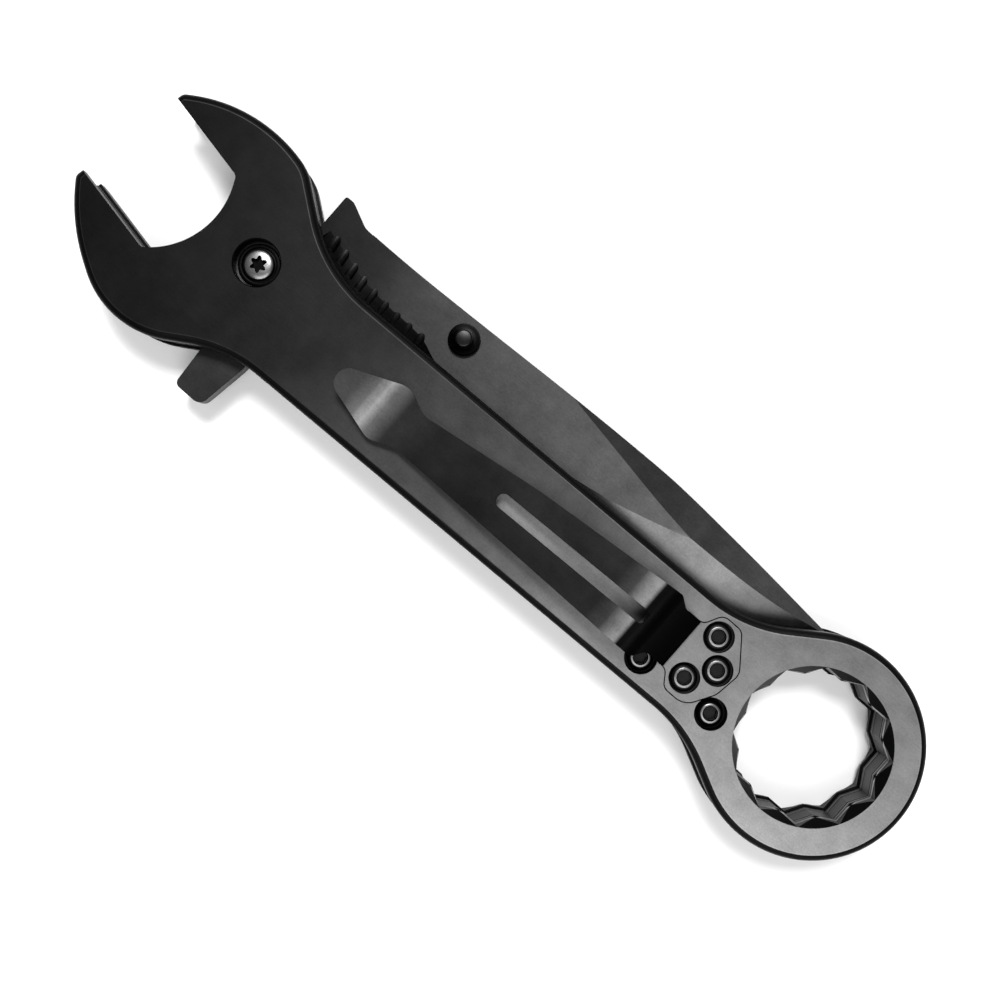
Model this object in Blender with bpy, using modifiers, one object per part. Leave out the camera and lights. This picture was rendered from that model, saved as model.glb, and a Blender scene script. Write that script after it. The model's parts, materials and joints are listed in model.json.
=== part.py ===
"""Folding pocket knife whose handle is a combination wrench.

Two wrench-shaped plates with a liner inside each sandwich a folding blade. The handle has an
open jaw at the head and a twelve-point ring at the other end. The blade turns on a barrel
between the liners, a lock bar cut in the clip-side liner springs in behind it, and a bent
sheet clip is let into the clip-side plate by the ring.

The model is drawn with the blade pivot at x = y = 0, the ring on +X and the blade's spine on
+Y. The finished assembly is moved so that its origin is the middle of its footprint.
"""

import math

import bmesh
import bpy
from mathutils import Vector

# ---------------------------------------------------------------- driving dimensions, in metres
PIVOT_TO_RING = 0.1118       # blade pivot to the middle of the ring
PLATE = 0.0024               # thickness of each outer plate
LINER = 0.0010               # thickness of each liner
BLADE = 0.0028               # thickness of the blade
SLOT_SIDE = 0.0005           # free space between the blade and each liner
GAP = 0.0003                 # clearance between pieces that touch

BORE_FLATS = 0.0210          # across the flats of the ring's twelve points
RING_WALL = 0.0053           # from the ring's points to its outside
JAW_WIDTH = 0.0180           # between the jaw's faces
JAW_TILT = math.radians(11.8)
JAW_OFFSET = -0.0035         # jaw's centre line, beside the pivot
JAW_REACH = 0.0274           # pivot to the jaw's tips, along the jaw
JAW_THROAT_RADIUS = 0.0133
EDGE_BEVEL = 0.0011          # black chamfer round each plate
LINER_INSET = 0.0004         # how far the liners sit back from the plates' edge

PIVOT_HOLE = 0.00365         # radius of the well for the pivot's heads
PIVOT_HEAD = 0.0033
PIVOT_HEAD_HEIGHT = 0.0012
BARREL = 0.0024              # radius of the pivot barrel
PIVOT_SHANK = 0.0013
PIVOT_STAR = 0.0010          # mean radius of the star recess
RECESS_DEPTH = 0.0009        # depth of the star recess
WASHER = 0.0060              # outer radius of the washers
WASHER_POCKET = 0.0005       # depth of the washers' pockets in the blade
WASHER_PLAY = 0.00025        # free space on each face of a washer

SCREW_WELL = 0.00242         # radius of the small screws' wells
SCREW_HEAD = 0.0021
SCREW_SHANK = 0.0012
SCREW_WELL_DEPTH = 0.0017
SCREW_HOLE = SCREW_SHANK + GAP
THREAD_DEPTH = 0.0016        # depth of the threaded holes in the rear plate
CLIP_WELL_DEPTH = 0.0009     # depth of the clip screws' wells
CLIP_SEAT_LIFT = 0.0002      # clip screw heads above the floor of their wells
SCREW_SOCKET = 0.0009        # half the socket's width across its flats

TANG = 0.0084                # radius of the blade's tang round the pivot
STOP_PIN = 0.0015            # radius of the stop pin
TAB_FRONT = 0.0026           # x of the guard tab's front edge, blade closed
TAB_TOP = 0.0170
FLIPPER_REACH = 0.0224
FLIPPER_BACK = 0.0067        # x of the flipper's rear corner
SPINE_AT_TAB = 0.01515
BLADE_WIDEST = 0.01715       # y of the spine's highest point
TIP_PAST_NECK = 0.0091       # ring's near side to blade tip, along x
TIP_Y = 0.0146
EDGE_HALF = 0.00015          # half the cutting edge's thickness
GROUND_STEP = 0.00001        # how far the ground part's flats lie under the tang's

LOCK_BAR_ROOT = 0.0620       # x of the lock bar's bend
LOCK_BAR_LOW = -0.0036
LOCK_BAR_HIGH = 0.0043
LOCK_FACE_GAP = 0.0004       # tang to the lock bar's end

STRAP_HIGH = -0.0080         # upper edge of the spacer's strap
SPACER_INSET = 0.0010

CLIP_SHEET = 0.0013          # thickness of the clip's sheet
CLIP_RISE = 0.0042           # underside of the clip's bend above the plate
CLIP_BEND_TO_NECK = 0.0144   # ring's near side to the clip's bend
CLIP_LENGTH = 0.0596         # bend to nose
CLIP_HINGE_SETBACK = 0.0010  # from the bend to the line the arm flexes about
STUD_Y = 0.0121
STUD_HEIGHT = 0.0026
STUD_CAP = 0.0014            # radius of the stud's cap
STUD_FLANGE = 0.00255        # radius of the stud's foot
STUD_PIN = 0.0010            # radius of the pin through the blade
STUD_PIN_SETBACK = 0.0002    # from the blade's middle to the end of each stud's pin

SAGITTA = 0.00004            # how far an arc's chords may cut inside it

# ---------------------------------------------------------------- levels and derived places
REAR_LINER_LOW = PLATE + GAP
REAR_LINER_HIGH = REAR_LINER_LOW + LINER
BLADE_LOW = REAR_LINER_HIGH + SLOT_SIDE
BLADE_HIGH = BLADE_LOW + BLADE
CLIP_LINER_LOW = BLADE_HIGH + SLOT_SIDE
CLIP_LINER_HIGH = CLIP_LINER_LOW + LINER
CLIP_PLATE_LOW = CLIP_LINER_HIGH + GAP
TOP = CLIP_PLATE_LOW + PLATE

BORE_CORNER = BORE_FLATS / 2 / math.cos(math.radians(30))
RING_RADIUS = BORE_CORNER + RING_WALL
RING_NEAR = PIVOT_TO_RING - RING_RADIUS
JAW_HALF = JAW_WIDTH / 2
LOWER_TIP = JAW_HALF + 0.0014
TIP_X = RING_NEAR + TIP_PAST_NECK
CLIP_BEND_X = RING_NEAR - CLIP_BEND_TO_NECK
CLIP_NOSE_X = CLIP_BEND_X - CLIP_LENGTH
CLIP_HINGE_X = CLIP_BEND_X + CLIP_HINGE_SETBACK
LOCK_BAR_TIP = TANG + LOCK_FACE_GAP
STOP_PIN_X = -TAB_FRONT + GAP + STOP_PIN
STOP_PIN_Y = -math.sqrt((TANG + GAP + STOP_PIN) ** 2 - STOP_PIN_X ** 2)
BODY_SCREWS = ((RING_NEAR - 0.0112, -0.0069), (RING_NEAR + 0.0024, -0.0064))
CLIP_SCREWS = ((RING_NEAR - 0.0043, 0.0032), (RING_NEAR - 0.0011, -0.0008), (RING_NEAR - 0.0042, -0.0049))
FLIPPER_SWEEP = math.hypot(FLIPPER_BACK, FLIPPER_REACH) + GAP
STRAP_START = math.sqrt(FLIPPER_SWEEP ** 2 - STRAP_HIGH ** 2)     # clear of the swinging flipper
STUD_REACH = math.hypot(JAW_REACH, LOWER_TIP - JAW_OFFSET) + STUD_FLANGE
STUD_X = math.sqrt(STUD_REACH ** 2 - STUD_Y ** 2)                 # just passes the lower jaw's tip


def mm(value):
    """A length given in millimetres, in metres."""
    return value * 0.001


# ---------------------------------------------------------------- scene and small helpers
def clear_scene():
    for old in list(bpy.data.objects):
        bpy.data.objects.remove(old, do_unlink=True)


def new_collection(name):
    collection = bpy.data.collections.new(name)
    bpy.context.scene.collection.children.link(collection)
    return collection


clear_scene()
PARTS = new_collection("wrench_knife")
CUTTERS = new_collection("cutters")
ROOT = bpy.data.objects.new("wrench_knife_origin", None)
PARTS.objects.link(ROOT)


def material(name, colour, roughness, metallic=1.0):
    found = bpy.data.materials.new(name)
    found.use_nodes = True
    surface = found.node_tree.nodes["Principled BSDF"]
    surface.inputs["Base Color"].default_value = (*colour, 1.0)
    surface.inputs["Roughness"].default_value = roughness
    surface.inputs["Metallic"].default_value = metallic
    return found


PLATE_STEEL = material("satin_plate_steel", (0.36, 0.36, 0.36), 0.38)
LINER_STEEL = material("liner_steel", (0.30, 0.30, 0.31), 0.35)
BLADE_STEEL = material("stonewashed_blade_steel", (0.32, 0.32, 0.33), 0.34)
CLIP_STEEL = material("dark_spring_steel", (0.10, 0.10, 0.10), 0.36)
SCREW_STEEL = material("black_screw_steel", (0.14, 0.14, 0.14), 0.32)
SPACER_STEEL = material("spacer_steel", (0.16, 0.16, 0.17), 0.45)
WASHER_BRONZE = material("washer_bronze", (0.55, 0.36, 0.17), 0.40)


def corner_arc(before, corner, after, radius):
    """Points of the arc that rounds one corner of an outline."""
    to_before = (before - corner).normalized()
    to_after = (after - corner).normalized()
    turn = math.pi - to_before.angle(to_after)
    if radius <= 0 or turn < 1e-4:
        return [corner]
    reach = radius * math.tan(turn / 2)
    first = corner + to_before * reach
    last = corner + to_after * reach
    centre = corner + (to_before + to_after).normalized() * (radius / math.cos(turn / 2))
    step = 2 * math.acos(1 - min(SAGITTA / radius, 0.5))
    count = max(2, math.ceil(turn / step))
    start = first - centre
    end = last - centre
    side = 1 if start.x * end.y - start.y * end.x > 0 else -1
    points = []
    for i in range(count + 1):
        angle = side * turn * i / count
        turned = Vector((
            start.x * math.cos(angle) - start.y * math.sin(angle),
            start.x * math.sin(angle) + start.y * math.cos(angle),
        ))
        points.append(centre + turned)
    return points


def rounded(corners, closed=True):
    """Outline through (x, y, radius) corners, each rounded by an arc."""
    places = [Vector((x, y)) for x, y, radius in corners]
    count = len(corners)
    points = []
    for i, (x, y, radius) in enumerate(corners):
        if not closed and i in (0, count - 1):
            points.append(places[i])
            continue
        points += corner_arc(places[i - 1], places[i], places[(i + 1) % count], radius)
    return points


def inset(corners, distance):
    """The same corners moved inwards, for an outline that runs anticlockwise."""
    count = len(corners)
    moved = []
    for i, (x, y, radius) in enumerate(corners):
        here = Vector((x, y))
        ahead = Vector(corners[(i + 1) % count][:2]) - here
        behind = here - Vector(corners[i - 1][:2])
        ahead.normalize()
        behind.normalize()
        left = Vector((-ahead.y - behind.y, ahead.x + behind.x)).normalized()
        half_turn = ahead.angle(behind) / 2
        place = here + left * (distance / math.cos(half_turn))
        outward = behind.x * ahead.y - behind.y * ahead.x > 0
        bend = radius - distance if outward else radius + distance
        moved.append((place.x, place.y, max(bend, 0) if radius > 0 else 0))
    return moved


def circle(x, y, radius, sides):
    step = 2 * math.pi / sides
    return [Vector((x + radius * math.cos(step * i), y + radius * math.sin(step * i)))
            for i in range(sides)]


def adopt(obj, finish=None, joint=None):
    """Give a finished sub-part its material and hang it on the assembly or on a joint."""
    if finish:
        obj.data.materials.clear()
        obj.data.materials.append(finish)
    obj.parent = joint or ROOT
    if joint:
        obj.location -= joint.location
    return obj


def shade(obj):
    obj.data.shade_smooth()
    obj.data.set_sharp_from_angle(angle=math.radians(28))


def outline_solid(name, outline, low, high, collection=None, whole_faces=False):
    """A flat outline extruded from one level to another."""
    curve = bpy.data.curves.new(name, "CURVE")
    curve.dimensions = "2D"
    curve.fill_mode = "BOTH"
    curve.extrude = (high - low) / 2
    spline = curve.splines.new("POLY")
    spline.points.add(len(outline) - 1)
    for point, place in zip(spline.points, outline):
        point.co = (place.x, place.y, 0, 1)
    spline.use_cyclic_u = True
    guide = bpy.data.objects.new(name + "_outline", curve)
    bpy.context.scene.collection.objects.link(guide)
    graph = bpy.context.evaluated_depsgraph_get()
    graph.update()
    mesh = bpy.data.meshes.new_from_object(guide.evaluated_get(graph))
    bpy.data.objects.remove(guide)
    shape = bmesh.new()
    shape.from_mesh(mesh)
    bmesh.ops.remove_doubles(shape, verts=shape.verts, dist=1e-6)
    if whole_faces:
        bmesh.ops.dissolve_limit(
            shape, angle_limit=math.radians(0.3), verts=shape.verts, edges=shape.edges
        )
    bmesh.ops.recalc_face_normals(shape, faces=shape.faces)
    if shape.calc_volume(signed=True) < 0:
        bmesh.ops.reverse_faces(shape, faces=shape.faces)
    shape.to_mesh(mesh)
    shape.free()
    mesh.name = name
    obj = bpy.data.objects.new(name, mesh)
    (collection or PARTS).objects.link(obj)
    obj.location.z = (low + high) / 2
    return obj


def turned(name, profile, x, y, sides, collection=None):
    """A turned piece: (radius, height) points down its outer side, swept round the Z axis."""
    mesh = bpy.data.meshes.new(name)
    verts = [(radius, 0, height) for radius, height in profile]
    edges = [(i, i + 1) for i in range(len(verts) - 1)]
    mesh.from_pydata(verts, edges, [])
    obj = bpy.data.objects.new(name, mesh)
    (collection or PARTS).objects.link(obj)
    obj.location = (x, y, 0)
    sweep = obj.modifiers.new("turn", "SCREW")
    sweep.axis = "Z"
    sweep.angle = 2 * math.pi
    sweep.steps = sides
    sweep.render_steps = sides
    sweep.use_merge_vertices = True
    sweep.merge_threshold = 1e-6
    sweep.use_smooth_shade = False
    return obj


def hide_cutter(obj):
    """Mark a cutter, and let it move with the assembly."""
    obj.parent = ROOT
    obj.hide_render = True
    obj.display_type = "WIRE"
    return obj


def round_cutter(name, x, y, radius, low, high, sides=24):
    profile = ((0, high), (radius, high), (radius, low), (0, low))
    return hide_cutter(turned(name, profile, x, y, sides, CUTTERS))


def outline_cutter(name, outline, low, high):
    return hide_cutter(outline_solid(name, outline, low, high, CUTTERS))


def cut(obj, cutter, operation="DIFFERENCE", careful=False, solver="EXACT"):
    """Cut with, join to or keep what lies inside another mesh."""
    boolean = obj.modifiers.new(cutter.name, "BOOLEAN")
    boolean.operation = operation
    boolean.solver = solver
    boolean.use_self = careful
    boolean.object = cutter


# ---------------------------------------------------------------- the wrench's outline
def from_jaw(along, across, radius):
    """A corner given along and across the tilted jaw, in the handle's x and y."""
    side = across + JAW_OFFSET
    x = -along * math.cos(JAW_TILT) + side * math.sin(JAW_TILT)
    y = along * math.sin(JAW_TILT) + side * math.cos(JAW_TILT)
    return (x, y, radius)


def ring_corners(low_corner, high_corner):
    """Corners whose arcs run round the ring between the two lines that touch it."""
    touches = []
    for (x, y, radius), sign in ((low_corner, 1), (high_corner, -1)):
        away = Vector((x - PIVOT_TO_RING, y))
        bearing = math.atan2(away.y, away.x)
        touches.append(bearing + sign * math.acos(RING_RADIUS / away.length))
    start, end = touches
    end += 2 * math.pi if end < start else 0
    count = 4
    half = (end - start) / count / 2
    corners = []
    for i in range(count):
        angle = start + half * (2 * i + 1)
        reach = RING_RADIUS / math.cos(half)
        corners.append((
            PIVOT_TO_RING + reach * math.cos(angle), reach * math.sin(angle), RING_RADIUS
        ))
    return corners


def wrench_corners():
    """Outside of the plates, anticlockwise from under the pivot, before the jaw is cut."""
    low_neck = (RING_NEAR + mm(0.72), mm(-11.11), mm(22.6))
    high_neck = (RING_NEAR - mm(2.48), mm(7.49), mm(22.0))
    return [
        (mm(5.0), mm(-12.95), mm(22.0)),
        low_neck,
        *ring_corners(low_neck, high_neck),
        high_neck,
        (mm(8.9), mm(6.17), mm(22.6)),
        from_jaw(mm(6.69), JAW_HALF + mm(9.20), mm(8.0)),
        from_jaw(mm(19.24), JAW_HALF + mm(9.46), mm(24.5)),
        from_jaw(JAW_REACH, JAW_HALF + mm(1.1), mm(1.2)),
        from_jaw(JAW_REACH, -LOWER_TIP, mm(1.2)),
        from_jaw(JAW_REACH - mm(5.2), -JAW_HALF - mm(6.34), mm(30.0)),
        from_jaw(mm(6.03), -JAW_HALF - mm(12.15), mm(15.1)),
    ]


def jaw_outline(wider=0.0):
    """The open mouth, which runs out past the tips."""
    half = JAW_HALF + wider
    corner = mm(12.4) - wider
    throat = mm(5.7) - wider
    far = JAW_REACH + mm(15)
    return rounded([
        from_jaw(far, -half, 0),
        from_jaw(far, half, 0),
        from_jaw(corner, half, mm(1.0)),
        from_jaw(throat, 0, JAW_THROAT_RADIUS + wider),
        from_jaw(corner, -half, mm(1.0)),
    ])


def bore_outline(wider=0.0):
    """The ring's twelve-point bore, two hexagons turned thirty degrees apart."""
    outer = BORE_CORNER + wider
    inner = outer * math.cos(math.radians(30)) / math.cos(math.radians(15))
    points = []
    for i in range(24):
        angle = math.radians(15 * i)
        radius = outer if i % 2 == 0 else inner
        points.append(Vector((
            PIVOT_TO_RING + radius * math.cos(angle), radius * math.sin(angle)
        )))
    return points


def cut_mouth_and_bore(obj, name, low, high, wider=0.0):
    ends = (low - mm(1), high + mm(1))
    cut(obj, outline_cutter(name + "_mouth", jaw_outline(wider), *ends))
    cut(obj, outline_cutter(name + "_bore", bore_outline(wider), *ends), solver="MANIFOLD")


def bevel_outer_rim(obj, level):
    """Chamfer the edge between a plate's outer face and its side."""
    mesh = obj.data
    weights = mesh.attributes.new("bevel_weight_edge", "FLOAT", "EDGE")
    local = level - obj.location.z
    for edge in mesh.edges:
        heights = [mesh.vertices[v].co.z for v in edge.vertices]
        on_rim = all(abs(height - local) < 1e-6 for height in heights)
        weights.data[edge.index].value = 1.0 if on_rim else 0.0
    bevel = obj.modifiers.new("rim", "BEVEL")
    bevel.limit_method = "WEIGHT"
    bevel.width = EDGE_BEVEL
    bevel.segments = 2
    bevel.profile = 0.42
    bevel.use_clamp_overlap = False


def bore_chamfer(name, face, inside):
    """The ring's lead-in: a cone from its outer circle down to the bore."""
    sense = 1 if face > inside else -1
    rim = BORE_CORNER + mm(0.18)
    slope = mm(1.0)
    widest = (rim + slope * 0.7, face + sense * slope)
    narrow = (rim - mm(1.5), face - sense * mm(1.5) / 0.7)
    if sense > 0:
        profile = ((0, widest[1]), widest, narrow, (0, narrow[1]))
    else:
        profile = ((0, narrow[1]), narrow, widest, (0, widest[1]))
    return hide_cutter(turned(name, profile, PIVOT_TO_RING, 0, 48, CUTTERS))


# ---------------------------------------------------------------- plates, liners and spacer
def carve(plate, cutter):
    """A cut in a plate, close to the bore's corners, where the exact solver leaves slivers open."""
    cut(plate, cutter, solver="MANIFOLD")


def clip_side_plate():
    plate = outline_solid(
        "clip_side_plate", rounded(wrench_corners()), CLIP_PLATE_LOW, TOP, whole_faces=True
    )
    bevel_outer_rim(plate, TOP)
    cut_mouth_and_bore(plate, "clip_side_plate", CLIP_PLATE_LOW, TOP)
    carve(plate, bore_chamfer("clip_side_lead_in", TOP, CLIP_PLATE_LOW))
    low = CLIP_PLATE_LOW - mm(1)
    high = TOP + mm(1)
    carve(plate, round_cutter("clip_side_pivot_well", 0, 0, PIVOT_HOLE, low, high, 32))
    for i, (x, y) in enumerate(BODY_SCREWS, 1):
        well = (TOP - SCREW_WELL_DEPTH, high)
        carve(plate, round_cutter(f"body_screw_well_{i}", x, y, SCREW_WELL, *well))
        carve(plate, round_cutter(f"body_screw_hole_{i}", x, y, SCREW_HOLE, low, high, 16))
    recess = rounded(inset(clip_foot_corners(), -GAP))
    carve(plate, outline_cutter("clip_foot_recess", recess, TOP - CLIP_SHEET - GAP, high))
    for i, (x, y) in enumerate(CLIP_SCREWS, 1):
        carve(plate, round_cutter(f"clip_screw_hole_{i}", x, y, SCREW_HOLE, low, high, 16))
    return adopt(plate, PLATE_STEEL)


def rear_plate():
    plate = outline_solid("rear_plate", rounded(wrench_corners()), 0, PLATE, whole_faces=True)
    bevel_outer_rim(plate, 0)
    cut_mouth_and_bore(plate, "rear_plate", 0, PLATE)
    carve(plate, bore_chamfer("rear_lead_in", 0, PLATE))
    carve(plate, round_cutter("rear_pivot_well", 0, 0, PIVOT_HOLE, -mm(1), PLATE + mm(1), 32))
    for i, (x, y) in enumerate(BODY_SCREWS, 1):
        hole = (PLATE - THREAD_DEPTH, PLATE + mm(1))
        carve(plate, round_cutter(f"rear_thread_{i}", x, y, SCREW_HOLE, *hole, 16))
    return adopt(plate, PLATE_STEEL)


def lock_bar_corners():
    return [
        (LOCK_BAR_TIP, LOCK_BAR_LOW, mm(0.8)),
        (LOCK_BAR_ROOT, LOCK_BAR_LOW, 0),
        (LOCK_BAR_ROOT, mm(1.8), 0),
        (mm(48.0), mm(1.8), mm(20.0)),
        (mm(27.0), LOCK_BAR_HIGH, mm(20.0)),
        (LOCK_BAR_TIP, LOCK_BAR_HIGH, mm(0.8)),
    ]


def liner(name, low, high):
    outline = rounded(inset(wrench_corners(), LINER_INSET))
    sheet = outline_solid(name, outline, low, high)
    cut_mouth_and_bore(sheet, name, low, high, LINER_INSET)
    below = low - mm(1)
    above = high + mm(1)
    cut(sheet, round_cutter(name + "_pivot_hole", 0, 0, BARREL + GAP, below, above))
    cut(sheet, round_cutter(
        name + "_stop_hole", STOP_PIN_X, STOP_PIN_Y, STOP_PIN + GAP, below, above, 16
    ))
    for i, (x, y) in enumerate(BODY_SCREWS, 1):
        cut(sheet, round_cutter(f"{name}_body_{i}", x, y, SCREW_HOLE, below, above, 16))
    return adopt(sheet, LINER_STEEL)


def clip_side_liner():
    sheet = liner("clip_side_liner", CLIP_LINER_LOW, CLIP_LINER_HIGH)
    below = CLIP_LINER_LOW - mm(1)
    above = CLIP_LINER_HIGH + mm(1)
    window = rounded(inset(lock_bar_corners(), -GAP))
    cut(sheet, outline_cutter("lock_bar_window", window, below, above))
    for i, (x, y) in enumerate(CLIP_SCREWS, 1):
        cut(sheet, round_cutter(f"liner_clip_{i}", x, y, SCREW_HOLE, below, above, 16))
    return sheet


def spacer():
    """One piece between the liners: the ring's filler, with a strap along the closed back."""
    corners = inset(wrench_corners(), SPACER_INSET)
    low_neck = corners[1]
    ring = [corner for corner in corners if corner[2] == corners[2][2]][:3]
    strap_low = corners[0][1] + (low_neck[1] - corners[0][1]) * 0.2
    outline = rounded([
        (STRAP_START, strap_low, mm(0.6)),
        low_neck,
        *ring,
        (PIVOT_TO_RING + mm(3.0), RING_RADIUS - SPACER_INSET, 0),
        (PIVOT_TO_RING - mm(5.4), RING_RADIUS - SPACER_INSET - mm(0.95), mm(8.0)),
        (TIP_X + mm(1.25), TIP_Y - mm(0.1), mm(0.3)),
        (TIP_X - mm(3.3), mm(9.4), mm(6.0)),
        (TIP_X - mm(10.4), mm(4.2), mm(10.0)),
        (TIP_X - mm(24.0), mm(-1.0), mm(10.0)),
        (TIP_X - mm(34.0), STRAP_HIGH, mm(12.0)),
        (STRAP_START, STRAP_HIGH, mm(0.6)),
    ])
    low = REAR_LINER_HIGH + GAP
    high = CLIP_LINER_LOW - GAP
    piece = outline_solid("handle_spacer", outline, low, high)
    bore = outline_cutter("spacer_bore", bore_outline(LINER_INSET), low - mm(1), high + mm(1))
    cut(piece, bore, solver="MANIFOLD")
    for i, (x, y) in enumerate(BODY_SCREWS, 1):
        ends = (low - mm(1), high + mm(1))
        hole = round_cutter(f"spacer_body_{i}", x, y, SCREW_HOLE, *ends, 16)
        cut(piece, hole, solver="MANIFOLD")
    return adopt(piece, SPACER_STEEL)


# ---------------------------------------------------------------- pivot, washers and pins
def pivot_screw():
    low = CLIP_LINER_HIGH + GAP
    high = low + PIVOT_HEAD_HEIGHT
    profile = (
        (0, high), (mm(2.3), high), (mm(2.9), high - mm(0.35)), (PIVOT_HEAD, low + mm(0.25)),
        (PIVOT_HEAD, low), (PIVOT_SHANK, low), (PIVOT_SHANK, REAR_LINER_HIGH), (0, REAR_LINER_HIGH),
    )
    screw = turned("pivot_screw", profile, 0, 0, 32)
    star = []
    for i in range(24):
        angle = math.radians(15 * i)
        reach = PIVOT_STAR * (1 + 0.2 * math.cos(6 * angle))
        star.append(Vector((reach * math.cos(angle), reach * math.sin(angle))))
    cut(screw, outline_cutter("pivot_star", star, high - RECESS_DEPTH, high + mm(1)))
    return adopt(screw, SCREW_STEEL)


def pivot_barrel():
    low = REAR_LINER_LOW - GAP - PIVOT_HEAD_HEIGHT
    shoulder = REAR_LINER_LOW - GAP
    bore = PIVOT_SHANK + GAP
    floor = REAR_LINER_HIGH - GAP
    profile = (
        (0, floor), (bore, floor), (bore, CLIP_LINER_HIGH), (BARREL, CLIP_LINER_HIGH),
        (BARREL, shoulder), (PIVOT_HEAD, shoulder), (PIVOT_HEAD, low + mm(0.3)),
        (mm(2.9), low), (0, low),
    )
    return adopt(turned("pivot_barrel", profile, 0, 0, 32), SCREW_STEEL)


def washer(name, low, high):
    inner = BARREL + GAP
    profile = ((inner, high), (WASHER, high), (WASHER, low), (inner, low), (inner, high))
    return adopt(turned(name, profile, 0, 0, 32), WASHER_BRONZE)


def washers():
    thick = WASHER_POCKET + SLOT_SIDE - 2 * WASHER_PLAY
    low = REAR_LINER_HIGH + WASHER_PLAY
    high = CLIP_LINER_LOW - WASHER_PLAY
    washer("washer_rear_side", low, low + thick)
    washer("washer_clip_side", high - thick, high)


def stop_pin():
    low = REAR_LINER_LOW + mm(0.1)
    high = CLIP_LINER_HIGH - mm(0.1)
    profile = ((0, high), (STOP_PIN, high), (STOP_PIN, low), (0, low))
    return adopt(turned("stop_pin", profile, STOP_PIN_X, STOP_PIN_Y, 20), SCREW_STEEL)


def small_screw(name, x, y, head_low, head_high, end):
    """A button-head screw with a hexagonal socket."""
    tall = head_high - head_low
    profile = (
        (0, head_high), (mm(1.6), head_high), (mm(1.9), head_high - tall * 0.25),
        (SCREW_HEAD, head_high - tall * 0.7), (SCREW_HEAD, head_low), (SCREW_SHANK, head_low),
        (SCREW_SHANK, end), (0, end),
    )
    screw = turned(name, profile, x, y, 24)
    socket = circle(x, y, SCREW_SOCKET / math.cos(math.radians(30)), 6)
    cut(screw, outline_cutter(name + "_socket", socket, head_high - tall * 0.8, head_high + mm(1)))
    return adopt(screw, SCREW_STEEL)


def screws():
    seat = TOP - SCREW_WELL_DEPTH + GAP
    for i, (x, y) in enumerate(BODY_SCREWS, 1):
        small_screw(f"body_screw_{i}", x, y, seat, TOP - GAP, PLATE - THREAD_DEPTH + 2 * GAP)
    clip_seat = TOP - CLIP_WELL_DEPTH + CLIP_SEAT_LIFT
    for i, (x, y) in enumerate(CLIP_SCREWS, 1):
        end = CLIP_LINER_LOW + mm(0.1)
        small_screw(f"clip_screw_{i}", x, y, clip_seat, TOP - mm(0.1), end)


# ---------------------------------------------------------------- the clip
def clip_foot_corners():
    """Plan of the clip's foot, anticlockwise: a hull round its three screws, with a neck."""
    near = RING_NEAR
    return [
        (near - mm(10.2), mm(-5.6), 0),
        (near - mm(7.2), mm(-5.6), mm(1.5)),
        (near - mm(5.6), mm(-8.0), mm(1.5)),
        (near - mm(1.6), mm(-8.0), mm(3.0)),
        (near + mm(1.5), mm(-3.4), mm(2.2)),
        (near + mm(2.2), mm(0.9), mm(2.0)),
        (near - mm(2.3), mm(6.1), mm(1.5)),
        (near - mm(5.8), mm(6.1), mm(1.6)),
        (near - mm(7.4), mm(3.05), mm(1.5)),
        (near - mm(10.2), mm(3.05), 0),
    ]


def clip_plan():
    """Plan of the whole clip: foot, neck, tapering arm and spade-shaped nose."""
    bend = CLIP_BEND_X
    nose = CLIP_NOSE_X
    foot = clip_foot_corners()[1:-1]
    return rounded([
        (bend + mm(2.6), mm(-5.7), mm(1.0)),
        *foot,
        (bend + mm(3.0), mm(3.05), mm(1.5)),
        (bend + mm(1.0), mm(4.25), mm(1.2)),
        (bend - mm(25.0), mm(2.0), mm(90.0)),
        (nose + mm(14.6), mm(-0.9), mm(4.0)),
        (nose + mm(10.6), mm(1.2), mm(2.2)),
        (nose - mm(0.4), mm(-3.3), mm(2.0)),
        (nose - mm(0.3), mm(-6.3), mm(2.0)),
        (nose + mm(10.0), mm(-9.2), mm(2.2)),
        (nose + mm(14.2), mm(-7.35), mm(4.0)),
        (bend + mm(1.0), mm(-7.75), mm(1.2)),
    ])


def clip_section():
    """Side view of the bent sheet: (x, height) round its two faces."""
    half = CLIP_SHEET / 2
    bend = CLIP_BEND_X
    nose = CLIP_NOSE_X
    top = TOP + CLIP_RISE + half
    path = rounded([
        (RING_NEAR + mm(7), TOP - half, 0),
        (bend + mm(6.2), TOP - half, mm(1.6)),
        (bend + mm(0.2), top, mm(2.2)),
        (nose + mm(13.0), TOP + GAP + half, mm(16.0)),
        (nose + mm(6.5), TOP + GAP + half + mm(0.35), mm(9.0)),
        (nose - mm(1.0), TOP + mm(3.4), 0),
    ], closed=False)
    upper = []
    lower = []
    for i, place in enumerate(path):
        ahead = path[min(i + 1, len(path) - 1)] - path[max(i - 1, 0)]
        side = Vector((-ahead.y, ahead.x)).normalized() * half
        upper.append(place - side)
        lower.append(place + side)
    return upper + lower[::-1]


def clip_piece(name, left, right, joint=None):
    """The part of the clip between two values of x."""
    wide = mm(24)
    piece = outline_solid(name, clip_section(), -wide / 2, wide / 2)
    piece.rotation_euler.x = math.radians(90)
    piece.location = (0, 0, 0)
    low = TOP - mm(5)
    high = TOP + mm(12)
    cut(piece, outline_cutter(name + "_plan", clip_plan(), low, high), "INTERSECT")
    ends = [Vector((left, -wide)), Vector((right, -wide)), Vector((right, wide)), Vector((left, wide))]
    cut(piece, outline_cutter(name + "_ends", ends, low - mm(1), high + mm(1)), "INTERSECT")
    return piece


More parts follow.
